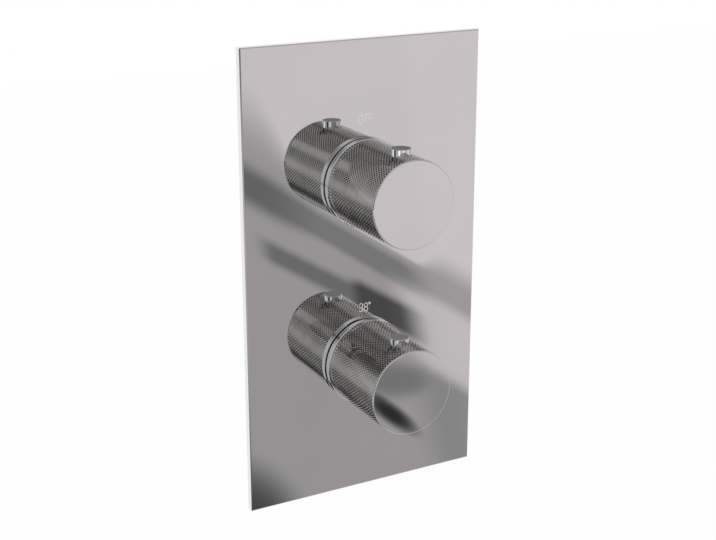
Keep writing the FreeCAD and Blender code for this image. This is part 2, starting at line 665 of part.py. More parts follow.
def temperature_cartridge_housing():
    z = TEMPERATURE_Z
    land_r = TEMPERATURE_CHAMBER_R - PRESS_GAP
    waist_r = TEMPERATURE_CHAMBER_R - 1.8
    groove_r = TEMPERATURE_CHAMBER_R - 2 * CARTRIDGE_SEAL_SECTION
    step = CARTRIDGE_SEAL_SECTION
    outline = [
        (NOSE_FRONT, SPINDLE_R + RUNNING_GAP), (NOSE_FRONT, NOSE_TIP_R), (NOSE_SEAT, NOSE_TIP_R),
        (NOSE_SEAT, NOSE_R), (FLANGE_FRONT, NOSE_R), (FLANGE_FRONT, land_r),
    ]
    ports = (HOT_PORT_Y, COLD_PORT_Y)
    for k, seal_y in enumerate(TEMPERATURE_SEAL_YS):
        outline += [(seal_y - step, land_r), (seal_y - step, groove_r), (seal_y + step, groove_r),
                    (seal_y + step, land_r)]
        if k < len(ports):
            low = ports[k] - WINDOW_HALF - 1.0
            high = ports[k] + WINDOW_HALF + 1.0
            outline += [(low, land_r), (low, waist_r), (high, waist_r), (high, land_r)]
    outline += [
        (HOUSING_BACK, land_r), (HOUSING_BACK, SPOOL_BORE_R), (FLANGE_FRONT + 1, SPOOL_BORE_R),
        (FLANGE_FRONT + 1, NOSE_CAVITY_R), (NOSE_CAVITY_FRONT, NOSE_CAVITY_R),
        (NOSE_CAVITY_FRONT, SPINDLE_R + RUNNING_GAP),
    ]
    housing = turned(outline, z)
    windows = []
    for y in ports:
        for turn in (0, 60, 120):
            window = block(-land_r - 1, land_r + 1, y - WINDOW_HALF, y + WINDOW_HALF, z - 4, z + 4)
            window.rotate(V(0, 0, z), V(0, 1, 0), turn)
            windows.append(window)
    return housing.cut(windows)


def temperature_cartridge_base():
    """The screwed ring that closes the cartridge and seats the return spring."""
    ring = rod(SPOOL_BORE_R - PRESS_GAP, BASE_FRONT, HOUSING_BACK, TEMPERATURE_Z)
    return ring.cut(rod(POCKET_R - 1, BASE_FRONT - 1, HOUSING_BACK + 1, TEMPERATURE_Z))


def temperature_cartridge_seals():
    mid = TEMPERATURE_CHAMBER_R - CARTRIDGE_SEAL_SECTION
    section = CARTRIDGE_SEAL_SECTION - PRESS_GAP
    return Part.makeCompound([seal_ring(mid, section, y, TEMPERATURE_Z) for y in TEMPERATURE_SEAL_YS])


SCREW_THREAD_R = 4.0
SCREW_THREAD_BACK = 3.6
PUSHER_FRONT = -2.2
PUSHER_WEB_BACK = 4.6
PUSHER_CUP_R = 6.7


def temperature_spindle():
    """Spindle with a thrust flange behind the nose and the screw that drives the pusher nut."""
    z = TEMPERATURE_Z
    flange_front = NOSE_CAVITY_FRONT + RUNNING_GAP
    flange_back = flange_front + 2.4
    shaft = spindle_front(z, flange_front)
    flange = rod(NOSE_CAVITY_R - LOOSE_GAP - 0.4, flange_front, flange_back, z)
    return fuse([shaft, flange, rod(SCREW_THREAD_R, flange_back, SCREW_THREAD_BACK, z)])


def pusher_nut():
    """The nut that the spindle's screw moves along, and the cup that holds the overload spring."""
    return turned([
        (PUSHER_FRONT, SCREW_THREAD_R + BUTTON_GAP), (PUSHER_FRONT, NOSE_CAVITY_R - BUTTON_GAP),
        (CAP_SPRING_BACK, NOSE_CAVITY_R - BUTTON_GAP), (CAP_SPRING_BACK, PUSHER_CUP_R),
        (PUSHER_WEB_BACK, PUSHER_CUP_R), (PUSHER_WEB_BACK, SCREW_THREAD_R + BUTTON_GAP),
    ], TEMPERATURE_Z)


def overload_spring():
    wire = 0.6
    return coil_y(PUSHER_CUP_R - wire - BUTTON_GAP, wire, PUSHER_WEB_BACK + PRESS_GAP,
                  CAP_SPRING_BACK - WASHER_THICKNESS - PRESS_GAP, 4, TEMPERATURE_Z)


def wax_element():
    """Thrust washer, piston, guide, collar and wax-filled capsule of the thermostat."""
    washer_front = CAP_SPRING_BACK - WASHER_THICKNESS
    washer_r = PUSHER_CUP_R - BUTTON_GAP
    guide_front = HOT_PORT_Y - 5.0
    return turned([
        (washer_front, 0), (washer_front, washer_r), (CAP_SPRING_BACK, washer_r),
        (CAP_SPRING_BACK, PISTON_R), (guide_front, PISTON_R), (guide_front, CAPSULE_R - 1),
        (PORT_Y - 1.5, CAPSULE_R - 1), (PORT_Y - 1.5, COLLAR_R), (PORT_Y + 1.0, COLLAR_R),
        (PORT_Y + 1.0, CAPSULE_R), (BASE_FRONT - 1, CAPSULE_R), (BASE_FRONT - 1, 0),
    ], TEMPERATURE_Z)


def regulating_spool():
    """The sleeve between the hot and cold seats, carried on the wax element's collar."""
    z = TEMPERATURE_Z
    outer = SPOOL_BORE_R - BUTTON_GAP
    front = HOT_PORT_Y + WINDOW_HALF + 0.3
    back = COLD_PORT_Y - WINDOW_HALF - 0.3
    hub = COLLAR_R + PRESS_GAP
    spool = turned([
        (front, outer - 1.6), (front, outer), (back, outer), (back, outer - 1.6), (PORT_Y + 1, outer - 1.6),
        (PORT_Y + 1, hub), (PORT_Y - 1.5, hub), (PORT_Y - 1.5, outer - 1.6),
    ], z)
    holes = []
    for k in range(6):
        hole = rod(1.2, front - 1, back + 1, z + (hub + outer - 1.6) / 2)
        hole.rotate(V(0, 0, z), V(0, 1, 0), 60 * k)
        holes.append(hole)
    return spool.cut(holes)


def return_spring():
    wire = 0.6
    mid = COLLAR_R + wire + LOOSE_GAP
    return coil_y(mid, wire, PORT_Y + 1 + PRESS_GAP, BASE_FRONT - PRESS_GAP, 5, TEMPERATURE_Z)


# ---- valve body --------------------------------------------------------------------------------

def valve_body():
    flow_r = FLOW_CHAMBER_R + CHAMBER_WALL
    hot_cold_r = TEMPERATURE_CHAMBER_R + CHAMBER_WALL
    plug_seat = TEMPERATURE_Z - PLUG_REACH
    channel_wall_r = CHANNEL_R + CHAMBER_WALL
    channel_front = CHANNEL_Y - channel_wall_r + 2
    link_end = flow_r - 0.5
    outlet_mouth = FLOW_Z + OUTLET_REACH
    body = fuse([
        rod(flow_r, BODY_FRONT, CHANNEL_Y, FLOW_Z),
        rod(hot_cold_r, BODY_FRONT, CHANNEL_Y, TEMPERATURE_Z),
        block(-LINK_HALF_WIDTH, LINK_HALF_WIDTH, channel_front, BODY_BACK, TEMPERATURE_Z - link_end,
              FLOW_Z + link_end),
        rod_x(PORT_BOSS_R, -INLET_REACH, INLET_REACH, PORT_Y, TEMPERATURE_Z),
        rod_z(PORT_BOSS_R, FLOW_Z, outlet_mouth, 0, PORT_Y),
        rod_z(min(channel_wall_r, BODY_BACK - CHANNEL_Y), plug_seat, TEMPERATURE_Z, 0, CHANNEL_Y),
    ])
    check_end = INLET_REACH - THREAD_LENGTH - CHECK_BORE_LENGTH
    thread_end = INLET_REACH - THREAD_LENGTH
    cuts = [
        rod(FLOW_CHAMBER_R, BODY_FRONT - 1, FLOW_CHAMBER_FLOOR, FLOW_Z),
        rod(TEMPERATURE_CHAMBER_R, BODY_FRONT - 1, TEMPERATURE_CHAMBER_FLOOR, TEMPERATURE_Z),
        rod(POCKET_R - 1, FLOW_CHAMBER_FLOOR - 1, CHANNEL_Y, FLOW_Z),
        rod(POCKET_R, TEMPERATURE_CHAMBER_FLOOR - 1, CHANNEL_Y, TEMPERATURE_Z),
        rod_z(CHANNEL_R, plug_seat + PLUG_LENGTH, FLOW_Z, 0, CHANNEL_Y),
        rod_z(PLUG_THREAD_R + PRESS_GAP, plug_seat - 1, plug_seat + PLUG_LENGTH + 1, 0, CHANNEL_Y),
        rod_z(THREAD_BORE_R, outlet_mouth - THREAD_LENGTH, outlet_mouth + 1, 0, PORT_Y),
        rod_z(OUTLET_PORT_R, FLOW_Z + FLOW_CHAMBER_R - 2, outlet_mouth, 0, PORT_Y),
    ]
    chamber_wall = TEMPERATURE_CHAMBER_R - 2
    for side, port_y in ((-1, HOT_PORT_Y), (1, COLD_PORT_Y)):
        cuts += [
            rod_x(THREAD_BORE_R, side * (INLET_REACH + 1), side * thread_end, PORT_Y, TEMPERATURE_Z),
            rod_x(CHECK_BORE_R, side * (thread_end + 1), side * check_end, PORT_Y, TEMPERATURE_Z),
            rod_x(INLET_PORT_R, side * (check_end + 1), side * chamber_wall, port_y, TEMPERATURE_Z),
        ]
    for x, z in body_screw_places():
        cuts.append(rod(BODY_SCREW_R + PRESS_GAP, BODY_BACK - BODY_SCREW_LENGTH, BODY_BACK + 1, z, x))
    return body.cut(cuts)


def body_screw_places():
    x = BODY_SCREW_SPACING_X / 2
    z = BODY_SCREW_SPACING_Z / 2
    return [(-x, -z), (-x, z), (x, -z), (x, z)]


def blanking_plug():
    """The hexagon plug that closes the drilled mixed-water channel from below."""
    seat = TEMPERATURE_Z - PLUG_REACH
    thread = rod_z(PLUG_THREAD_R, seat, seat + PLUG_LENGTH, 0, CHANNEL_Y)
    groove = rod_z(PLUG_THREAD_R + 1, seat + 1, seat + 3, 0, CHANNEL_Y)
    groove = groove.cut(rod_z(PLUG_THREAD_R - 2 * PLUG_SEAL_SECTION, seat + 1, seat + 3, 0, CHANNEL_Y))
    head = rod_z(PLUG_HEAD_R, seat - PLUG_HEAD_HEIGHT, seat, 0, CHANNEL_Y)
    corner = 5.0 / math.sqrt(3)
    corners = [V(corner * math.cos(math.radians(60 * k)), CHANNEL_Y + corner * math.sin(math.radians(60 * k)),
                 seat - PLUG_HEAD_HEIGHT) for k in range(6)]
    key = Part.Face(Part.makePolygon(corners + corners[:1])).extrude(V(0, 0, 3.0))
    return thread.fuse(head).removeSplitter().cut([groove, key])


PLUG_SEAL_SECTION = 0.9


def blanking_plug_seal():
    seat = TEMPERATURE_Z - PLUG_REACH
    mid = PLUG_THREAD_R - PLUG_SEAL_SECTION
    return Part.makeTorus(mid, PLUG_SEAL_SECTION - PRESS_GAP, V(0, CHANNEL_Y, seat + 2), V(0, 0, 1))


# ---- inlet filters and check valves ------------------------------------------------------------

FILTER_THICKNESS = 1.6
CHECK_SEAT_THICKNESS = 1.6
CHECK_SPIDER_THICKNESS = 1.4
CHECK_TUBE_WALL = 1.0
CHECK_SEAT_BORE_R = 4.6
POPPET_R = 5.8
POPPET_THICKNESS = 1.4
POPPET_STEM_R = 1.1
POPPET_TRAVEL = 2.0
POPPET_GUIDE_LENGTH = 2.2
POPPET_GUIDE_WALL = 0.8
FILTER_OUTER = INLET_REACH - THREAD_LENGTH - 0.4
CHECK_OUTER = FILTER_OUTER - FILTER_THICKNESS - PRESS_GAP
CHECK_INNER = INLET_REACH - THREAD_LENGTH - CHECK_BORE_LENGTH + PRESS_GAP
CHECK_SHOULDER = CHECK_OUTER - CHECK_SEAT_THICKNESS
SPIDER_OUTER = CHECK_INNER + CHECK_SPIDER_THICKNESS


def inlet_filter(side):
    """A round gauze: a rim with a perforated disc inside it."""
    outer_r = CHECK_BORE_R - PRESS_GAP
    inner_x = FILTER_OUTER - FILTER_THICKNESS
    rim = rod_x(outer_r, side * inner_x, side * FILTER_OUTER, PORT_Y, TEMPERATURE_Z)
    recess = rod_x(outer_r - 1.2, side * (inner_x + 0.5), side * (FILTER_OUTER + 1), PORT_Y, TEMPERATURE_Z)
    rim = rim.cut(recess)
    holes = []
    for ring, count in ((0.0, 1), (2.2, 6), (4.6, 12)):
        for k in range(count):
            a = 2 * math.pi * k / count
            y = PORT_Y + ring * math.cos(a)
            z = TEMPERATURE_Z + ring * math.sin(a)
            holes.append(rod_x(0.7, side * (inner_x - 1), side * (FILTER_OUTER + 1), y, z))
    return rim.cut(holes)


def check_housing(side):
    """The check valve's tube: a seat at its outer end and a guide for the stem at its inner end."""
    outer_r = CHECK_BORE_R - PRESS_GAP
    inner_r = outer_r - CHECK_TUBE_WALL
    tube = rod_x(outer_r, side * CHECK_INNER, side * CHECK_OUTER, PORT_Y, TEMPERATURE_Z)
    hollow = rod_x(inner_r, side * SPIDER_OUTER, side * CHECK_SHOULDER, PORT_Y, TEMPERATURE_Z)
    mouth = rod_x(CHECK_SEAT_BORE_R, side * SPIDER_OUTER, side * (CHECK_OUTER + 1), PORT_Y, TEMPERATURE_Z)
    stem_bore_r = POPPET_STEM_R + RUNNING_GAP
    stem_bore = rod_x(stem_bore_r, side * (CHECK_INNER - 1), side * CHECK_OUTER, PORT_Y, TEMPERATURE_Z)
    passages = []
    for k in range(6):
        a = math.pi * k / 3
        passages.append(rod_x(1.7, side * (CHECK_INNER - 1), side * (SPIDER_OUTER + 1),
                              PORT_Y + 4.6 * math.cos(a), TEMPERATURE_Z + 4.6 * math.sin(a)))
    tube = tube.cut([hollow, mouth] + passages)
    guide_end = SPIDER_OUTER + POPPET_GUIDE_LENGTH
    guide_r = stem_bore_r + POPPET_GUIDE_WALL
    guide = rod_x(guide_r, side * CHECK_INNER, side * guide_end, PORT_Y, TEMPERATURE_Z)
    return fuse([tube, guide]).cut(stem_bore)


def check_poppet(side):
    """The closing disc on its stem; the stem slides in the guide."""
    face = CHECK_SHOULDER - RUNNING_GAP
    back = face - POPPET_THICKNESS
    disc = rod_x(POPPET_R, side * back, side * face, PORT_Y, TEMPERATURE_Z)
    stem = rod_x(POPPET_STEM_R, side * (CHECK_INNER + POPPET_TRAVEL), side * back, PORT_Y, TEMPERATURE_Z)
    return disc.fuse(stem)


def check_spring(side):
    wire = 0.25
    low = SPIDER_OUTER + PRESS_GAP
    high = CHECK_SHOULDER - RUNNING_GAP - POPPET_THICKNESS - PRESS_GAP
    guide_r = POPPET_STEM_R + RUNNING_GAP + POPPET_GUIDE_WALL
    spring = coil(guide_r + wire + 0.2, wire, high - low, 4)
    spring.rotate(V(0, 0, 0), V(0, 1, 0), 90 * side)
    spring.translate(V(side * low, PORT_Y, TEMPERATURE_Z))
    return spring


# ---- fixing bracket ----------------------------------------------------------------------------

def fixing_bracket():
    half_w = WALL_HOLE_SPACING_X / 2 + BRACKET_SIDE_MARGIN
    half_h = WALL_HOLE_SPACING_Z / 2 + BRACKET_END_MARGIN
    back = BODY_BACK + BRACKET_THICKNESS
    plate = block(-half_w, half_w, BODY_BACK, back, -half_h, half_h)
    corners = [e for e in plate.Edges if e.BoundBox.YLength > BRACKET_THICKNESS / 2]
    plate = plate.makeFillet(6.0, corners)
    holes = []
    for sx in (-1, 1):
        for sz in (-1, 1):
            holes.append(rod(WALL_HOLE_R, BODY_BACK - 1, back + 1, sz * WALL_HOLE_SPACING_Z / 2,
                             sx * WALL_HOLE_SPACING_X / 2))
    for x, z in body_screw_places():
        holes.append(body_screw_solid(x, z, PRESS_GAP))
    return plate.cut(holes)


def body_screw_solid(x, z, growth):
    """A countersunk screw from the bracket's back into the body, or its hole where growth is given."""
    back = BODY_BACK + BRACKET_THICKNESS
    cone_height = BODY_SCREW_HEAD_R - BODY_SCREW_R
    cone = Part.makeCone(BODY_SCREW_R + growth, BODY_SCREW_HEAD_R + growth, cone_height,
                         V(x, back - cone_height, z), V(0, 1, 0))
    shank = rod(BODY_SCREW_R + growth, back - BODY_SCREW_LENGTH, back - cone_height, z, x)
    return cone.fuse(shank)


def bracket_screws():
    return Part.makeCompound([body_screw_solid(x, z, 0.0) for x, z in body_screw_places()])


# ---- the whole valve ---------------------------------------------------------------------------

def all_pieces():
    pieces = {
        "cover_plate": cover_plate(),
        "plate_marks": plate_marks(),
        "plate_gasket": plate_gasket(),
        "valve_body": valve_body(),
        "fixing_bracket": fixing_bracket(),
        "bracket_screws": bracket_screws(),
        "blanking_plug": blanking_plug(),
        "blanking_plug_seal": blanking_plug_seal(),
        "flow_cartridge_housing": flow_cartridge_housing(),
        "flow_cartridge_seal": flow_cartridge_seals(),
        "flow_moving_disc": flow_moving_disc(),
        "flow_fixed_disc": flow_fixed_disc(),
        "flow_base_seal": flow_base_seal(),
        "flow_spindle": flow_spindle(),
        "temperature_cartridge_housing": temperature_cartridge_housing(),
        "temperature_cartridge_base": temperature_cartridge_base(),
        "temperature_cartridge_seals": temperature_cartridge_seals(),
        "temperature_spindle": temperature_spindle(),
        "pusher_nut": pusher_nut(),
        "overload_spring": overload_spring(),
        "wax_element": wax_element(),
        "regulating_spool": regulating_spool(),
        "return_spring": return_spring(),
        "flow_stop_ring": stop_ring(FLOW_Z, 0.0, FLOW_RANGE, FLOW_RANGE / 2),
        "temperature_stop_ring": stop_ring(TEMPERATURE_Z, TEMPERATURE_COLD, TEMPERATURE_HOT, 8.0),
    }
    for name, side in (("hot", -1), ("cold", 1)):
        pieces[name + "_inlet_filter"] = inlet_filter(side)
        pieces[name + "_check_housing"] = check_housing(side)
        pieces[name + "_check_poppet"] = check_poppet(side)
        pieces[name + "_check_spring"] = check_spring(side)
    handles = (("flow", FLOW_Z, FLOW_CHAMBER_R), ("temperature", TEMPERATURE_Z, TEMPERATURE_CHAMBER_R))
    for name, z, chamber_r in handles:
        pieces[name + "_handle_core"] = handle_core(z)
        pieces[name + "_handle_barrel"] = handle_barrel(z)
        pieces[name + "_handle_cap"] = handle_cap(z)
        pieces[name + "_cap_seal"] = cap_seal(z)
        pieces[name + "_handle_adapter"] = handle_adapter(z)
        pieces[name + "_handle_screw"] = handle_screw(z)
        pieces[name + "_button"] = button(z)
        pieces[name + "_button_catch"] = button_catch(z)
        pieces[name + "_button_spring"] = button_spring(z)
        pieces[name + "_spindle_seals"] = spindle_seals(z)
        pieces[name + "_guide_sleeve"] = guide_sleeve(z)
        pieces[name + "_plate_seal"] = plate_seal(z)
        pieces[name + "_cartridge_nut"] = cartridge_nut(chamber_r, z)
    return pieces


os.makedirs("parts", exist_ok=True)
for piece_name, shape in all_pieces().items():
    shape.exportStep("parts/" + piece_name + ".step")
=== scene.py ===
import json
import math

import bmesh
import bpy
from mathutils import Matrix, Vector


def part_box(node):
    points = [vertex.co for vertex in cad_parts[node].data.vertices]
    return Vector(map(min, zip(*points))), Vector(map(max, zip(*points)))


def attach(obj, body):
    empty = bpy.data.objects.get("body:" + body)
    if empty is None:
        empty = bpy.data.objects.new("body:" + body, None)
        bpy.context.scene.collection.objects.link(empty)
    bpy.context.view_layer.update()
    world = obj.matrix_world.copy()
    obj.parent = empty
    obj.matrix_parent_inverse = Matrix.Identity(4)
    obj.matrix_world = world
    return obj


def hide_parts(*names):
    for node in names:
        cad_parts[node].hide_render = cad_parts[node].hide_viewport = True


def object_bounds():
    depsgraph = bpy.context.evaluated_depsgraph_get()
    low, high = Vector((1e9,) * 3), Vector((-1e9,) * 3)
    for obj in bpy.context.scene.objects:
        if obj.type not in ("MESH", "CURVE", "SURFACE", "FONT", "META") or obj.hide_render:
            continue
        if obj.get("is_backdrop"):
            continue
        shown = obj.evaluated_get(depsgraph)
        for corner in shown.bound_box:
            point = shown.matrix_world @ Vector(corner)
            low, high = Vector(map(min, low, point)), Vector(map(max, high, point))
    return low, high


bl_info = {
    "name": "Thermostatic Shower Valve",
    "version": (1, 0, 0),
    "blender": (4, 5, 0),
    "location": "3D View > Sidebar > Shower Valve",
    "description": "Dresses a concealed shower valve with two knurled handles and sets up its studio",
    "category": "Object",
}

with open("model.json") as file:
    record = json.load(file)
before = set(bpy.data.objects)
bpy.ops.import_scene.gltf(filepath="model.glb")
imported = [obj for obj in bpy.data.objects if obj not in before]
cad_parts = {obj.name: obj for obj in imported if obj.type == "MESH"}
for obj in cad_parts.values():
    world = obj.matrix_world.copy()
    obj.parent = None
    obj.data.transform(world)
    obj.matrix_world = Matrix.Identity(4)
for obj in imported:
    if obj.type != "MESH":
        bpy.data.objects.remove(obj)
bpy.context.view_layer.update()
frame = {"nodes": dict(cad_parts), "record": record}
SLOT_OF = {entry["node"]: entry["material_slot"] for entry in frame["record"]["subparts"]}
MOUNT_PLACE = {mount["name"]: Vector(mount["pos_m"]) for mount in frame["record"]["mounts"]}

HANDLES = ("flow", "temperature")
MM = 0.001


# ---- settings ----------------------------------------------------------------------------------

def colour_property(name, description, default):
    return bpy.props.FloatVectorProperty(
        name=name, description=description, default=default, subtype="COLOR", size=3, min=0.0, max=1.0)


class KnurlSettings(bpy.types.PropertyGroup):
    """The diamond knurl on the handles' barrels"""
    rows_round: bpy.props.IntProperty(
        name="Diamonds round", description="Diamonds in one ring of the knurl", default=86, min=24, max=160)
    depth: bpy.props.FloatProperty(
        name="Depth", description="Depth of the knurl's grooves", default=0.52 * MM, unit="LENGTH")
    crest: bpy.props.FloatProperty(
        name="Crest share", description="Width of a diamond's flat top, as a share of the diamond",
        default=0.12, min=0.0, max=0.8, subtype="FACTOR")
    stretch: bpy.props.FloatProperty(
        name="Stretch", description="A diamond's length along the handle over its width",
        default=1.5, min=0.5, max=3.0)


class FinishSettings(bpy.types.PropertyGroup):
    """The colours of the valve's finishes"""
    chrome: colour_property("Chrome", "Colour of the polished plating", (0.80, 0.80, 0.80))
    knurl_chrome: colour_property("Knurl plating", "Colour of the plating on the knurl", (0.58, 0.57, 0.555))
    brass: colour_property("Cast brass", "Colour of the body behind the wall", (0.60, 0.44, 0.20))
    bright_brass: colour_property("Turned brass", "Colour of the turned cartridge pieces", (0.72, 0.55, 0.27))
    copper: colour_property("Copper", "Colour of the wax capsule", (0.70, 0.36, 0.22))
    steel: colour_property("Steel", "Colour of the bracket, the screws and the springs", (0.55, 0.55, 0.54))
    enamel: colour_property("Marks", "Colour of the enamel in the plate's marks", (0.96, 0.92, 0.90))
    rubber: colour_property("Rubber", "Colour of the seals", (0.018, 0.018, 0.018))
    foam: colour_property("Foam", "Colour of the plate's gasket", (0.05, 0.05, 0.052))
    pale_plastic: colour_property("Pale plastic", "Colour of the acetal pieces", (0.72, 0.72, 0.67))
    dark_plastic: colour_property("Dark plastic", "Colour of the sleeves and catches", (0.04, 0.04, 0.045))
    ceramic: colour_property("Ceramic", "Colour of the two flow discs", (0.80, 0.78, 0.72))


class StageSettings(bpy.types.PropertyGroup):
    """The floor, the lamps and what polished metal mirrors"""
    floor_drop: bpy.props.FloatProperty(
        name="Floor drop", description="How far the floor lies below the valve", default=0.35, unit="LENGTH")
    floor_size: bpy.props.FloatProperty(
        name="Floor size", description="Length of the floor's sides", default=6.0, unit="LENGTH")
    floor_colour: colour_property("Floor", "Colour of the floor", (0.80, 0.80, 0.80))
    key_power: bpy.props.FloatProperty(
        name="Key light", description="Power of the large lamp above the valve", default=3.0, unit="POWER")
    fill_power: bpy.props.FloatProperty(
        name="Fill light", description="Power of the lamp on the left", default=1.0, unit="POWER")
    mirrored_studio: bpy.props.FloatProperty(
        name="Mirrored studio", description="How much polished metal mirrors the studio, not plain white",
        default=1.0, min=0.0, max=1.0, subtype="FACTOR")


# ---- shader maths ------------------------------------------------------------------------------

class Value:
    """A socket of a node tree that takes part in Python expressions."""

    def __init__(self, maker, socket):
        self.maker = maker
        self.socket = socket

    def maths(self, operation, *operands):
        return self.maker.node("ShaderNodeMath", {"operation": operation}, dict(enumerate(operands)))

    def __add__(self, other):
        return self.maths("ADD", self, other)

    __radd__ = __add__

    def __mul__(self, other):
        return self.maths("MULTIPLY", self, other)

    __rmul__ = __mul__

    def __sub__(self, other):
        return self.maths("SUBTRACT", self, other)

    def __rsub__(self, other):
        return self.maths("SUBTRACT", other, self)

    def __truediv__(self, other):
        return self.maths("DIVIDE", self, other)

    def __rtruediv__(self, other):
        return self.maths("DIVIDE", other, self)

    def absolute(self):
        return self.maths("ABSOLUTE", self)

    def at_least(self, other):
        """The larger of the two values."""
        return self.maths("MAXIMUM", self, other)

    def zigzag(self, height):
        """Rises from 0 to the height and falls back to 0, over and over."""
        return self.maths("PINGPONG", self, height)

    def smooth(self, low, high):
        """0 below low, 1 above high and a soft step between them."""
        return self.maker.node("ShaderNodeMapRange", {"interpolation_type": "SMOOTHSTEP"}, {
            "Value": self, "From Min": low, "From Max": high})

    def out(self, name):
        """Another output of this socket's node."""
        return Value(self.maker, self.socket.node.outputs[name])


def blend(share, first, second):
    """The first level where share is 0 and the second where it is 1."""
    return first + (second - first) * share


class Maker:
    """Adds nodes to one tree."""

    def __init__(self, tree):
        self.tree = tree

    def node(self, kind, settings=None, sockets=None):
        """A node of this kind, with its settings and then its sockets' values or links."""
        made = self.tree.nodes.new(kind)
        for name, value in (settings or {}).items():
            setattr(made, name, value)
        for name, value in (sockets or {}).items():
            self.put(made.inputs[name], value)
        return Value(self, next(socket for socket in made.outputs if socket.enabled))

    def put(self, socket, value):
        """Links a value to a socket, or sets the socket to a plain number, vector or colour."""
        if isinstance(value, Value):
            self.tree.links.new(value.socket, socket)
        elif socket.type == "RGBA":
            socket.default_value = (*value, 1.0)
        else:
            socket.default_value = value

    def place(self):
        """Where the shaded point is on its piece, in metres."""
        return self.node("ShaderNodeTexCoord").out("Object")

    def stretched(self, x, y, z):
        """The point's place, scaled along each axis to draw a pattern out."""
        return self.node("ShaderNodeVectorMath", {"operation": "MULTIPLY"}, {0: self.place(), 1: (x, y, z)})

    def noise(self, scale, detail=3.0, roughness=0.5, place=None):
        return self.node("ShaderNodeTexNoise", None, {
            "Vector": place or self.place(), "Scale": scale, "Detail": detail, "Roughness": roughness})

    def mix(self, factor, first, second):
        """The first colour where the factor is 0 and the second where it is 1."""
        mixed = self.node("ShaderNodeMix", {"data_type": "RGBA"}, {"Factor": factor}).socket.node
        colours = [socket for socket in mixed.inputs if socket.type == "RGBA"]
        self.put(colours[0], first)
        self.put(colours[1], second)
        return Value(self, next(socket for socket in mixed.outputs if socket.type == "RGBA"))

    def bump(self, height, strength, distance, normal=None):
        """A bump, on top of the normal of another bump where one is given."""
        sockets = {"Height": height, "Strength": strength, "Distance": distance}
        if normal:
            sockets["Normal"] = normal
        return self.node("ShaderNodeBump", None, sockets)


# ---- finishes ----------------------------------------------------------------------------------

class Finish:
    """A material with its maker and its surface shader."""

    def __init__(self, name, metallic, roughness, colour):
        self.material = bpy.data.materials.new(name)
        self.material.use_nodes = True
        self.maker = Maker(self.material.node_tree)
        self.shader = next(n for n in self.material.node_tree.nodes if n.type == "BSDF_PRINCIPLED")
        self.colour = tuple(colour)
        self.set("Metallic", metallic)
        self.set("Roughness", roughness)
        self.set("Base Color", self.colour)

    def set(self, name, value):
        self.maker.put(self.shader.inputs[name], value)

    def roughened(self, least, factor, extra):
        """The least roughness, rougher by extra where factor is 1."""
        self.set("Roughness", least + factor * extra)

    def shaded(self, factor, share):
        """The finish's own colour, darker by share where factor is 1."""
        dark = [c * (1 - share) for c in self.colour]
        self.set("Base Color", self.maker.mix(factor, self.colour, dark))


def settings():
    return bpy.context.scene.valve_finish


def finish_of(slot):
    """The procedural finish of a material slot, made when it is first asked for."""
    name = slot + "_finish"
    return bpy.data.materials.get(name) or FINISHES[slot](name)


def chrome(name):
    """Mirror-bright plating with a faint haze."""
    finish = Finish(name, metallic=1.0, roughness=0.02, colour=settings().chrome)
    m = finish.maker
    haze = m.noise(scale=90.0, detail=4.0)
    finish.roughened(0.004, haze.smooth(0.45, 0.8), extra=0.012)
    finish.shaded(m.noise(scale=14.0, detail=2.0).smooth(0.35, 0.75), share=0.03)
    return finish.material


def knurl_chrome(name):
    """Plating over the cut knurl, greyer and less even than on the polished pieces."""
    finish = Finish(name, metallic=1.0, roughness=0.06, colour=settings().knurl_chrome)
    m = finish.maker
    grain = m.noise(scale=1600.0, detail=2.0)
    finish.roughened(0.04, grain.smooth(0.3, 0.8), extra=0.06)
    finish.shaded(m.noise(scale=120.0, detail=3.0).smooth(0.4, 0.7), share=0.12)
    return finish.material


# The body's three threaded ports, all of one size.
PORT_RADIUS = 9.5 * MM
PORT_EDGE = 0.5 * MM            # over which the bright bore passes into the cast skin
INLET_THREAD_START = 28.0 * MM  # from the body's middle
OUTLET_THREAD_START = 75.0 * MM
THREAD_RUN_IN = 1.0 * MM
THREAD_PITCH = 1.814 * MM
THREAD_DEPTH = 0.9 * MM
FACED_START = 0.3 * MM          # how far below a port's end face its turned brightness starts
FACED_FULL = 0.2 * MM


def cast_brass(name):
    """Sand-cast outside; turned bright on the ports' end faces, with a thread in each port."""
    finish = Finish(name, metallic=1.0, roughness=0.38, colour=settings().brass)
    m = finish.maker
    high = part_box("valve_body")[1]
    inlet = MOUNT_PLACE["cold_inlet"]
    outlet = MOUNT_PLACE["outlet"]
    parts = m.node("ShaderNodeSeparateXYZ", None, {"Vector": m.place()})
    x, y, z = (parts.out(axis) for axis in "XYZ")
    aside = x.absolute()
    inlet_threads = aside.smooth(INLET_THREAD_START, INLET_THREAD_START + THREAD_RUN_IN)
    outlet_thread = z.smooth(OUTLET_THREAD_START, OUTLET_THREAD_START + THREAD_RUN_IN)
    in_inlets = inside_port(y - inlet.y, z - inlet.z) * inlet_threads
    in_outlet = inside_port(x, y - outlet.y) * outlet_thread
    faced = end_face(aside, high.x).at_least(end_face(z, high.z))
    machined = faced.at_least(in_inlets + in_outlet)
    stain = m.noise(scale=45.0, detail=4.0)
    finish.set("Roughness", 0.20 + (1 - machined) * (0.10 + stain.smooth(0.3, 0.75) * 0.22))
    stained = [c * 0.72 for c in finish.colour]
    cast_colour = m.mix(stain.smooth(0.42, 0.68), finish.colour, stained)
    finish.set("Base Color", m.mix(machined, cast_colour, settings().bright_brass))
    grains = m.noise(scale=1400.0, detail=5.0, roughness=0.65) * (1 - machined)
    sand = m.bump(grains, strength=0.35, distance=0.15 * MM)
    turns = in_inlets * thread(x) + in_outlet * thread(z)
    finish.set("Normal", m.bump(turns, strength=1.0, distance=THREAD_DEPTH, normal=sand))
    return finish.material


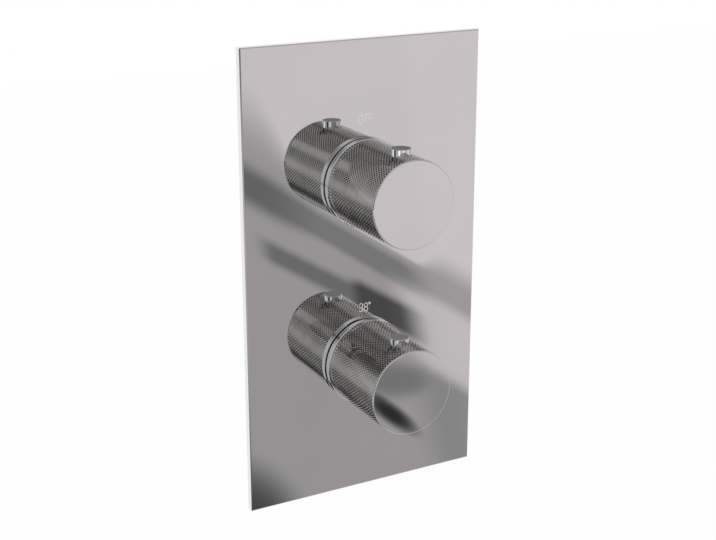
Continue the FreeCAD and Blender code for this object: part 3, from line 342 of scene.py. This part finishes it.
def inside_port(first, second):
    """1 inside a threaded port and 0 outside it, from the distances to its axis in two directions."""
    away = first * first + second * second
    return 1 - away.smooth(PORT_RADIUS ** 2, (PORT_RADIUS + PORT_EDGE) ** 2)


def end_face(along, end):
    """1 on the port's end face and 0 further in, from the place along the port and where it ends."""
    return along.smooth(end - FACED_START, end - FACED_FULL)


def thread(along):
    """The height of a port's thread along its axis."""
    return along.zigzag(THREAD_PITCH / 2) / THREAD_PITCH


def turned_brass(name):
    """Fine turning marks round the y axis."""
    finish = Finish(name, metallic=1.0, roughness=0.22, colour=settings().bright_brass)
    m = finish.maker
    rings = m.noise(scale=1.0, detail=2.0, place=m.stretched(30.0, 5200.0, 30.0))
    finish.roughened(0.16, rings.smooth(0.3, 0.8), extra=0.14)
    finish.shaded(m.noise(scale=80.0, detail=3.0).smooth(0.4, 0.75), share=0.14)
    finish.set("Normal", m.bump(rings, strength=0.12, distance=0.02 * MM))
    return finish.material


def copper(name):
    finish = Finish(name, metallic=1.0, roughness=0.26, colour=settings().copper)
    m = finish.maker
    finish.shaded(m.noise(scale=160.0, detail=4.0).smooth(0.35, 0.7), share=0.25)
    finish.roughened(0.20, m.noise(scale=500.0, detail=2.0), extra=0.15)
    return finish.material


def brushed_steel(name):
    """Steel brushed along z."""
    finish = Finish(name, metallic=1.0, roughness=0.30, colour=settings().steel)
    m = finish.maker
    brushing = m.noise(scale=1.0, detail=3.0, place=m.stretched(5200.0, 5200.0, 60.0))
    finish.roughened(0.24, brushing.smooth(0.3, 0.8), extra=0.18)
    finish.shaded(brushing.smooth(0.4, 0.7), share=0.12)
    finish.set("Normal", m.bump(brushing, strength=0.10, distance=0.02 * MM))
    return finish.material


def enamel(name):
    finish = Finish(name, metallic=0.0, roughness=0.35, colour=settings().enamel)
    m = finish.maker
    finish.shaded(m.noise(scale=2500.0, detail=2.0).smooth(0.5, 0.8), share=0.08)
    return finish.material


def seal_rubber(name):
    finish = Finish(name, metallic=0.0, roughness=0.42, colour=settings().rubber)
    m = finish.maker
    finish.roughened(0.36, m.noise(scale=900.0, detail=3.0), extra=0.2)
    finish.set("Normal", m.bump(m.noise(scale=2200.0, detail=3.0), strength=0.15, distance=0.03 * MM))
    return finish.material


def foam(name):
    """Foam of small cells, darker at their edges."""
    finish = Finish(name, metallic=0.0, roughness=0.95, colour=settings().foam)
    m = finish.maker
    cells = m.node("ShaderNodeTexVoronoi", {"feature": "F1"}, {"Vector": m.place(), "Scale": 1900.0})
    finish.shaded(cells.smooth(0.2, 0.75), share=0.6)
    finish.set("Normal", m.bump(cells, strength=0.8, distance=0.25 * MM))
    return finish.material


def moulded(name, colour):
    """Moulded plastic with a fine matt grain."""
    finish = Finish(name, metallic=0.0, roughness=0.40, colour=colour)
    m = finish.maker
    finish.roughened(0.34, m.noise(scale=1500.0, detail=3.0), extra=0.2)
    finish.shaded(m.noise(scale=60.0, detail=2.0).smooth(0.35, 0.75), share=0.06)
    finish.set("Normal", m.bump(m.noise(scale=2600.0, detail=3.0), strength=0.12, distance=0.03 * MM))
    return finish.material


def pale_plastic(name):
    return moulded(name, settings().pale_plastic)


def dark_plastic(name):
    return moulded(name, settings().dark_plastic)


def ceramic(name):
    finish = Finish(name, metallic=0.0, roughness=0.12, colour=settings().ceramic)
    m = finish.maker
    finish.shaded(m.noise(scale=900.0, detail=4.0).smooth(0.45, 0.8), share=0.08)
    finish.roughened(0.08, m.noise(scale=300.0, detail=2.0), extra=0.1)
    return finish.material


# The record's material slots and the finish of each one.
FINISHES = {
    "plate_chrome": chrome, "handle_chrome": chrome, "knurl_chrome": knurl_chrome, "mark_white": enamel,
    "foam": foam, "body_brass": cast_brass, "cartridge_brass": turned_brass, "copper": copper,
    "steel": brushed_steel, "seal_rubber": seal_rubber, "inner_plastic": pale_plastic,
    "dark_plastic": dark_plastic, "ceramic_white": ceramic,
}


def dress(*nodes):
    """Gives carried-over CAD nodes the finish of their slot in the record."""
    for node in nodes:
        piece = frame["nodes"][node]
        piece.data.materials.clear()
        piece.data.materials.append(finish_of(SLOT_OF[node]))


# ---- knurled barrels ---------------------------------------------------------------------------

SLEEVE_WALL = 2.1 * MM    # from the knurl's crests to the bore, which stays just clear of the core
BUTTON_GAP = 0.1 * MM
DRILL_LENGTH = 14.0 * MM
DRILL_SIDES = 64


class KnurledSleeve:
    """A tube along y on a lattice of columns round it and rows along it: crests on every other point,
    on the CAD barrel's radius, and grooves cut inwards between them."""

    def __init__(self, node, knurl):
        low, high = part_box(node)
        length = high.y - low.y
        self.mesh = bmesh.new()
        self.crest_radius = (high.x - low.x) / 2
        self.groove_radius = self.crest_radius - knurl.depth
        self.inner_radius = self.crest_radius - SLEEVE_WALL
        self.axis_z = (low.z + high.z) / 2
        self.front = low.y
        self.crest = knurl.crest
        self.columns = 2 * knurl.rows_round
        width = 2 * math.pi * self.crest_radius / knurl.rows_round
        self.rows = 2 * round(length / (width * knurl.stretch))
        self.step = length / self.rows
        self.valleys = {}

    def point(self, column, row, radius):
        angle = 2 * math.pi * column / self.columns
        return self.mesh.verts.new((
            radius * math.sin(angle), self.front + self.step * row, self.axis_z + radius * math.cos(angle)))

    def beside(self, column):
        """The columns before and after this one."""
        return (column - 1) % self.columns, (column + 1) % self.columns

    def add_valleys(self):
        for row in range(self.rows + 1):
            for column in range(self.columns):
                if (row + column) % 2 or row in (0, self.rows):
                    self.valleys[row, column] = self.point(column, row, self.groove_radius)

    def add_diamonds(self):
        """A flat-topped pyramid over each crest point between the two ends."""
        for row in range(1, self.rows):
            for column in range(row % 2, self.columns, 2):
                before, after = self.beside(column)
                offsets = ((self.crest, 0), (0, self.crest), (-self.crest, 0), (0, -self.crest))
                top = [self.point(column + c, row + r, self.crest_radius) for c, r in offsets]
                foot = [self.valleys[row, after], self.valleys[row + 1, column],
                        self.valleys[row, before], self.valleys[row - 1, column]]
                self.mesh.faces.new(top)
                for k in range(4):
                    self.mesh.faces.new((foot[k], foot[(k + 1) % 4], top[(k + 1) % 4], top[k]))

    def add_end_triangles(self):
        """Fills the half diamonds along the two end rows, down at the grooves."""
        for row, inward in ((0, 1), (self.rows, -1)):
            for column in range(row % 2, self.columns, 2):
                before, after = self.beside(column)
                near = self.valleys[row + inward, column]
                self.mesh.faces.new((self.valleys[row, before], self.valleys[row, column], near))
                self.mesh.faces.new((self.valleys[row, column], self.valleys[row, after], near))

    def add_bore(self):
        """The inner wall and the two flat ends."""
        ends = (0, self.rows)
        inner = {(row, column): self.point(column, row, self.inner_radius)
                 for row in ends for column in range(self.columns)}
        for column in range(self.columns):
            after = self.beside(column)[1]
            self.mesh.faces.new((inner[0, column], inner[0, after],
                                 inner[self.rows, after], inner[self.rows, column]))
            for row in ends:
                self.mesh.faces.new((self.valleys[row, column], self.valleys[row, after],
                                     inner[row, after], inner[row, column]))

    def build(self, name):
        self.add_valleys()
        self.add_diamonds()
        self.add_end_triangles()
        self.add_bore()
        bmesh.ops.recalc_face_normals(self.mesh, faces=self.mesh.faces)
        return shown_object(name, self.mesh)


def shown_object(name, mesh):
    """An object of a bmesh, which is freed."""
    data = bpy.data.meshes.new(name)
    mesh.to_mesh(data)
    mesh.free()
    made = bpy.data.objects.new(name, data)
    bpy.context.collection.objects.link(made)
    return made


def drill_for_button(tube, button_node):
    """Cuts the button's round hole through the top of the tube."""
    low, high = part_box(button_node)
    radius = (high.x - low.x) / 2 + BUTTON_GAP
    rod = bmesh.new()
    bmesh.ops.create_cone(rod, cap_ends=True, segments=DRILL_SIDES, radius1=radius, radius2=radius,
                          depth=DRILL_LENGTH)
    drill = shown_object("button_drill", rod)
    drill.location = ((low.x + high.x) / 2, (low.y + high.y) / 2, high.z)
    cut = tube.modifiers.new("bore", "BOOLEAN")
    cut.operation = "DIFFERENCE"
    cut.object = drill
    cut.solver = "MANIFOLD"
    bpy.context.view_layer.update()
    evaluated = tube.evaluated_get(bpy.context.evaluated_depsgraph_get())
    drilled = bpy.data.meshes.new_from_object(evaluated)
    tube.modifiers.clear()
    tube.data = drilled
    bpy.data.objects.remove(drill)


# ---- operators ---------------------------------------------------------------------------------

class VALVE_OT_cover_plate(bpy.types.Operator):
    """Polishes the cover plate and fills its marks"""
    bl_idname = "valve.cover_plate"
    bl_label = "Cover Plate"

    def execute(self, context):
        dress("cover_plate", "plate_marks", "plate_gasket")
        for handle in HANDLES:
            dress(handle + "_plate_seal", handle + "_guide_sleeve")
        return {"FINISHED"}


class VALVE_OT_knurled_barrels(bpy.types.Operator):
    """Cuts the diamond knurl on both handles' barrels"""
    bl_idname = "valve.knurled_barrels"
    bl_label = "Knurled Barrels"

    def execute(self, context):
        for handle in HANDLES:
            node = handle + "_handle_barrel"
            tube = KnurledSleeve(node, context.scene.valve_knurl).build(handle + "_knurled_barrel")
            drill_for_button(tube, handle + "_button")
            tube.data.materials.clear()
            tube.data.materials.append(finish_of("knurl_chrome"))
            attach(tube, handle + "_handle")
            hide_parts(node)
        return {"FINISHED"}


class VALVE_OT_handles(bpy.types.Operator):
    """Plates the handles' cores, caps and buttons"""
    bl_idname = "valve.handles"
    bl_label = "Handles"

    def execute(self, context):
        for handle in HANDLES:
            dress(*(handle + name for name in (
                "_handle_core", "_handle_cap", "_cap_seal", "_handle_adapter", "_handle_screw", "_button",
                "_button_catch", "_button_spring", "_stop_ring")))
        return {"FINISHED"}


class VALVE_OT_body(bpy.types.Operator):
    """Finishes the cast body, its plug and the fixing bracket"""
    bl_idname = "valve.body"
    bl_label = "Valve Body"

    def execute(self, context):
        dress("valve_body", "blanking_plug", "blanking_plug_seal", "fixing_bracket", "bracket_screws")
        return {"FINISHED"}


class VALVE_OT_cartridges(bpy.types.Operator):
    """Finishes the flow cartridge and the thermostatic cartridge"""
    bl_idname = "valve.cartridges"
    bl_label = "Cartridges"

    def execute(self, context):
        dress("flow_cartridge_housing", "flow_cartridge_seal", "flow_moving_disc", "flow_fixed_disc",
              "flow_base_seal", "temperature_cartridge_housing", "temperature_cartridge_base",
              "temperature_cartridge_seals", "pusher_nut", "overload_spring", "wax_element",
              "regulating_spool", "return_spring")
        for handle in HANDLES:
            dress(handle + "_spindle", handle + "_spindle_seals", handle + "_cartridge_nut")
        return {"FINISHED"}


class VALVE_OT_inlet_checks(bpy.types.Operator):
    """Finishes the filters and check valves in the two inlets"""
    bl_idname = "valve.inlet_checks"
    bl_label = "Inlet Filters and Check Valves"

    def execute(self, context):
        for side in ("hot", "cold"):
            dress(*(side + name for name in (
                "_inlet_filter", "_check_housing", "_check_poppet", "_check_spring")))
        return {"FINISHED"}


# ---- mirrored studio ---------------------------------------------------------------------------

# The studio is a level for each direction from the valve, where 1 is white. The direction's x is to the
# right, its y towards the wall and its z up, and each pair below is where one part fades into the next.
RIGHT_SIDE_X = (0.50, 0.75)
BACK_Y = (0.25, 0.65)
CEILING_Z = (0.62, 0.80)
TABLE_DEPTH = (0.45, 0.62)       # below the horizon
TABLE_X = (-0.65, -0.45)
FRONT_DISTANCE = (0.37, 0.53)    # away from the wall
RIGHT_FRONT_X = (0.20, 0.30)
SIDE_LAMP_REACH = (0.60, 0.80)   # to either side

LEFT_SIDE_LEVEL = 0.045
RIGHT_SIDE_LEVEL = 0.45
BACK_LEVEL = 1.0
CEILING_LEVEL = 0.48
TABLE_LEVEL = 0.65
LEFT_FRONT_LEVEL = 0.58
SCATTERED_LEVEL = 0.75           # for every ray that is neither the eye's nor a mirror's

# Where the right front is pale, how much weaker its red, green and blue are.
ROSY_LEVEL = (0.28, 0.40)
ROSY_LOSS = (0.0, 0.065, 0.045)

# Soft lamps at the sides: which side, where (the direction's y and z), how large and how much lighter.
SIDE_LAMPS = (
    (-1, (-0.22, -0.30), (0.30, 0.22), 0.50),
    (1, (-0.35, -0.28), (0.25, 0.20), 0.45),
)

# Soft spots on the left front: where (the direction's x and z), how large and how much lighter, where
# less than 0 is darker.
LEFT_SPOTS = (
    ((-0.38, 0.40), (0.05, 0.06), -0.18),
    ((-0.43, -0.17), (0.05, 0.08), -0.42),
    ((0.12, -0.60), (0.28, 0.24), -0.60),
    ((-0.28, 0.46), (0.36, 0.36), -0.30),
    ((-0.74, -0.27), (0.13, 0.14), 0.75),
    ((0.05, -0.24), (0.15, 0.14), 0.75),
)

# The right front, which the plate mirrors. A height there is z + tilt * x, which follows the bars' slope.
BAR_TILT = 0.695
INNER_X = (0.39, 0.43)           # past here the pale wall comes lower and the upper bar is weaker
SOFT_BOX_X = (0.459, 0.485)
RIM_X = (0.485, 0.505)
GREY_WALL_LEVEL = 0.39
RIM_GAIN = 0.03

PALE_WALL_GAIN = 0.30
PALE_WALL_START = 0.032
PALE_WALL_START_DROP = 0.010
PALE_WALL_FULL = 0.095
PALE_WALL_FULL_DROP = 0.0685
PALE_WALL_RIM_RISE = 0.022

UPPER_BAR_HEIGHT = 0.009
UPPER_BAR_HALF = 0.006
UPPER_BAR_EDGE = 0.018
UPPER_BAR_EDGE_LOSS = 0.010
UPPER_BAR_END_X = (0.474, 0.496)
UPPER_BAR_STRENGTH = 0.235
UPPER_BAR_INNER_LOSS = 0.07

LOWER_BAR_TILT = 0.59
LOWER_BAR_HEIGHT = -0.0754
LOWER_BAR_HALF = 0.003
LOWER_BAR_EDGE = 0.010
LOWER_BAR_START_X = (0.376, 0.392)
LOWER_BAR_END_X = (0.468, 0.490)
LOWER_BAR_STRENGTH = 0.55
LOWER_BAR_DEEP_X = (0.436, 0.447)  # past here it is wider and darker
LOWER_BAR_DEEP_WIDTH = 0.004
LOWER_BAR_DEEP_STRENGTH = 0.25

# Bars in the soft box: middle, half width and soft edge of the height, and how much lighter or darker.
SOFT_BOX_BARS = ((-0.025, 0.022, 0.014, 0.235), (-0.110, 0.050, 0.020, -0.10))

# Flags that darken a soft spot: where, how large and how much, the tilted ones by x and tilted height.
TILTED_FLAGS = (((0.449, -0.107), (0.020, 0.012), 0.36),)
UPRIGHT_FLAGS = (
    ((0.453, -0.396), (0.030, 0.017), 0.18),
    ((0.335, -0.492), (0.052, 0.055), 0.32),
)

# The right front darkens upwards, and higher still it is lighter again.
UPPER_FRONT_Z = (-0.08, 0.18)
UPPER_FRONT_LEVEL = 0.22
HIGH_FRONT_Z = (0.34, 0.48)
HIGH_FRONT_GAIN = 0.28


def soft_spot(across, up, centre, size):
    """1 in the middle of an oval patch of the studio and 0 outside it."""
    from_middle_x = (across - centre[0]) / size[0]
    from_middle_z = (up - centre[1]) / size[1]
    distance = from_middle_x * from_middle_x + from_middle_z * from_middle_z
    return 1 - distance.smooth(0.0, 1.0)


def soft_bar(height, middle, half, edge):
    """1 inside a level bar and 0 outside it, with soft edges."""
    above_bottom = height.smooth(middle - half - edge, middle - half)
    above_top = height.smooth(middle + half, middle + half + edge)
    return above_bottom * (1 - above_top)


def left_front(x, up):
    """A large soft box with dark gaps and two lamps, which the rings and the buttons' sides mirror."""
    level = LEFT_FRONT_LEVEL
    for centre, size, gain in LEFT_SPOTS:
        level = level + soft_spot(x, up, centre, size) * gain
    return level


def right_front(x, up):
    """What the plate mirrors: a pale wall over two tilted grey bars, with a soft box on the right."""
    height = up + x * BAR_TILT
    inner = x.smooth(*INNER_X)
    soft_box = x.smooth(*SOFT_BOX_X)
    rim = x.smooth(*RIM_X)
    wall_start = PALE_WALL_START - inner * PALE_WALL_START_DROP
    wall_full = PALE_WALL_FULL - inner * PALE_WALL_FULL_DROP + rim * PALE_WALL_RIM_RISE
    level = GREY_WALL_LEVEL + rim * RIM_GAIN + height.smooth(wall_start, wall_full) * PALE_WALL_GAIN
    level = level - upper_bar(x, height, inner)
    for middle, half, edge, gain in SOFT_BOX_BARS:
        level = level + soft_box * soft_bar(height, middle, half, edge) * gain
    for centre, size, loss in TILTED_FLAGS:
        level = level - soft_spot(x, height, centre, size) * loss
    for centre, size, loss in UPRIGHT_FLAGS:
        level = level - soft_spot(x, up, centre, size) * loss
    level = level * (1 - lower_bar(x, up))
    high_front = up.smooth(*HIGH_FRONT_Z) * HIGH_FRONT_GAIN
    return blend(up.smooth(*UPPER_FRONT_Z), level, UPPER_FRONT_LEVEL) + high_front


def upper_bar(x, height, inner):
    """How much the upper grey bar takes off the wall's level."""
    bar = soft_bar(height, UPPER_BAR_HEIGHT, UPPER_BAR_HALF, UPPER_BAR_EDGE - inner * UPPER_BAR_EDGE_LOSS)
    before_end = 1 - x.smooth(*UPPER_BAR_END_X)
    return before_end * bar * (UPPER_BAR_STRENGTH - inner * UPPER_BAR_INNER_LOSS)


def lower_bar(x, up):
    """The share of the wall's level that the lower grey bar takes away."""
    deep = x.smooth(*LOWER_BAR_DEEP_X)
    half = LOWER_BAR_HALF + deep * LOWER_BAR_DEEP_WIDTH
    bar = soft_bar(up + x * LOWER_BAR_TILT, LOWER_BAR_HEIGHT, half, LOWER_BAR_EDGE)
    length = x.smooth(*LOWER_BAR_START_X) * (1 - x.smooth(*LOWER_BAR_END_X))
    return length * bar * (LOWER_BAR_STRENGTH + deep * LOWER_BAR_DEEP_STRENGTH)


def studio_level(x, y, up):
    """The level of the whole studio, from the direction's three parts."""
    below = 0 - up
    sides = blend(x.smooth(*RIGHT_SIDE_X), LEFT_SIDE_LEVEL, RIGHT_SIDE_LEVEL)
    level = blend(y.smooth(*BACK_Y), sides, BACK_LEVEL)
    level = blend(up.smooth(*CEILING_Z), level, CEILING_LEVEL)
    level = blend(below.smooth(*TABLE_DEPTH) * x.smooth(*TABLE_X), level, TABLE_LEVEL)
    for facing, centre, size, gain in SIDE_LAMPS:
        level = level + soft_spot(y, up, centre, size) * (x * facing).smooth(*SIDE_LAMP_REACH) * gain
    front = blend(x.smooth(*RIGHT_FRONT_X), left_front(x, up), right_front(x, up))
    return blend((0 - y).smooth(*FRONT_DISTANCE), level, front)


def studio_world(stage):
    """White to the eye; polished metal sees white towards the wall and the studio's greys elsewhere."""
    world = bpy.data.worlds.new("studio")
    world.use_nodes = True
    bpy.context.scene.world = world
    m = Maker(world.node_tree)
    direction = m.node("ShaderNodeTexCoord").out("Generated")
    parts = m.node("ShaderNodeSeparateXYZ", None, {"Vector": direction})
    x, y, up = (parts.out(axis) for axis in "XYZ")
    level = studio_level(x, y, up)
    rosy = level.smooth(*ROSY_LEVEL) * x.smooth(*RIGHT_FRONT_X)
    path = m.node("ShaderNodeLightPath")
    seen = {}
    for channel, loss in enumerate(ROSY_LOSS):
        mirrored = blend(stage.mirrored_studio, 1.0, level * (1 - rosy * loss))
        lit = blend(path.out("Is Glossy Ray"), SCATTERED_LEVEL, mirrored)
        seen[channel] = blend(path.out("Is Camera Ray"), lit, 1.0)
    background = next(n for n in world.node_tree.nodes if n.type == "BACKGROUND")
    m.put(background.inputs["Color"], m.node("ShaderNodeCombineColor", None, seen))
    m.put(background.inputs["Strength"], 1.0)


# ---- stage -------------------------------------------------------------------------------------

# The photograph's viewpoint, as a place and two angles in the row's frame.
CAMERA_PLACE = Vector((-0.2748, -0.5125, 0.1953))
CAMERA_YAW = math.radians(28.20)
CAMERA_PITCH = math.radians(17.49)
CAMERA_LENS = 65.85
CAMERA_SENSOR = 36.0
CAMERA_SHIFT = (-0.0036, -0.0341)
CAMERA_NEAR = 0.01

# Both lamps point at the origin, the middle of the plate's back.
KEY_PLACE = Vector((-0.5, -0.4, 1.0))
KEY_SIZE = (0.30, 0.9)
FILL_PLACE = Vector((-1.2, 0.35, 0.5))
FILL_SIZE = (0.12, 0.9)

FLOOR_WHITENESS = 0.97    # the rest of what the eye sees is the floor's own colour with its shadow


def pale_floor(stage):
    low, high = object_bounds()
    centre = (low + high) / 2
    half = stage.floor_size / 2
    height = low.z - stage.floor_drop
    sides = ((-1, -1), (1, -1), (1, 1), (-1, 1))
    corners = [(centre.x + sx * half, centre.y + sy * half, height) for sx, sy in sides]
    data = bpy.data.meshes.new("floor")
    data.from_pydata(corners, [], [(0, 1, 2, 3)])
    floor = bpy.data.objects.new("floor", data)
    bpy.context.collection.objects.link(floor)
    data.materials.append(floor_finish(stage.floor_colour))
    floor.visible_glossy = False
    floor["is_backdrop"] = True


def floor_finish(colour):
    """Nearly white to the eye, with a little of its own shaded colour for the shadow."""
    finish = Finish("floor", metallic=0.0, roughness=0.9, colour=colour)
    m = finish.maker
    to_eye = m.node("ShaderNodeLightPath").out("Is Camera Ray")
    white = m.node("ShaderNodeEmission", None, {"Color": (1.0, 1.0, 1.0), "Strength": 1.0})
    own = Value(m, finish.shader.outputs["BSDF"])
    seen = m.node("ShaderNodeMixShader", None, {0: to_eye * FLOOR_WHITENESS, 1: own, 2: white})
    output = next(n for n in finish.material.node_tree.nodes if n.type == "OUTPUT_MATERIAL")
    m.put(output.inputs["Surface"], seen)
    return finish.material


def soft_lamp(name, place, size, power):
    lamp = bpy.data.lights.new(name, "AREA")
    lamp.shape = "RECTANGLE"
    lamp.size, lamp.size_y = size
    lamp.energy = power
    holder = bpy.data.objects.new(name, lamp)
    holder.location = place
    holder.visible_glossy = False
    holder.rotation_euler = (-place).to_track_quat("-Z", "Y").to_euler()
    bpy.context.collection.objects.link(holder)


def photograph_camera():
    level = math.cos(CAMERA_PITCH)
    forward = Vector((math.sin(CAMERA_YAW) * level, math.cos(CAMERA_YAW) * level, -math.sin(CAMERA_PITCH)))
    turn = forward.to_track_quat("-Z", "Y").to_matrix().to_4x4()
    data = bpy.data.cameras.new("camera")
    data.lens = CAMERA_LENS
    data.sensor_width = CAMERA_SENSOR
    data.shift_x, data.shift_y = CAMERA_SHIFT
    data.clip_start = CAMERA_NEAR
    camera = bpy.data.objects.new("camera", data)
    camera.matrix_world = Matrix.Translation(CAMERA_PLACE) @ turn
    bpy.context.collection.objects.link(camera)
    bpy.context.scene.camera = camera


class VALVE_OT_stage(bpy.types.Operator):
    """Sets up the floor, the light and the camera"""
    bl_idname = "valve.stage"
    bl_label = "Studio"

    def execute(self, context):
        stage = context.scene.valve_stage
        context.scene.view_settings.view_transform = "Standard"
        studio_world(stage)
        pale_floor(stage)
        soft_lamp("key", KEY_PLACE, KEY_SIZE, stage.key_power)
        soft_lamp("fill", FILL_PLACE, FILL_SIZE, stage.fill_power)
        photograph_camera()
        return {"FINISHED"}


# ---- add-on ------------------------------------------------------------------------------------

class VALVE_PT_sidebar(bpy.types.Panel):
    """The valve's pieces and its studio"""
    bl_label = "Shower Valve"
    bl_idname = "VALVE_PT_sidebar"
    bl_space_type = "VIEW_3D"
    bl_region_type = "UI"
    bl_category = "Shower Valve"

    def draw(self, context):
        for group in (context.scene.valve_knurl, context.scene.valve_finish, context.scene.valve_stage):
            box = self.layout.box()
            for name in group.__annotations__:
                box.prop(group, name)
        for operator in OPERATORS:
            self.layout.operator(operator.bl_idname)


OPERATORS = (VALVE_OT_cover_plate, VALVE_OT_knurled_barrels, VALVE_OT_handles, VALVE_OT_body,
             VALVE_OT_cartridges, VALVE_OT_inlet_checks, VALVE_OT_stage)
CLASSES = (KnurlSettings, FinishSettings, StageSettings) + OPERATORS + (VALVE_PT_sidebar,)


def register():
    for item in CLASSES:
        bpy.utils.register_class(item)
    bpy.types.Scene.valve_knurl = bpy.props.PointerProperty(type=KnurlSettings)
    bpy.types.Scene.valve_finish = bpy.props.PointerProperty(type=FinishSettings)
    bpy.types.Scene.valve_stage = bpy.props.PointerProperty(type=StageSettings)


def unregister():
    del bpy.types.Scene.valve_stage
    del bpy.types.Scene.valve_finish
    del bpy.types.Scene.valve_knurl
    for item in reversed(CLASSES):
        bpy.utils.unregister_class(item)


def main():
    register()
    bpy.ops.valve.cover_plate()
    bpy.ops.valve.knurled_barrels()
    bpy.ops.valve.handles()
    bpy.ops.valve.body()
    bpy.ops.valve.cartridges()
    bpy.ops.valve.inlet_checks()
    bpy.ops.valve.stage()


if __name__ == "__main__":
    main()
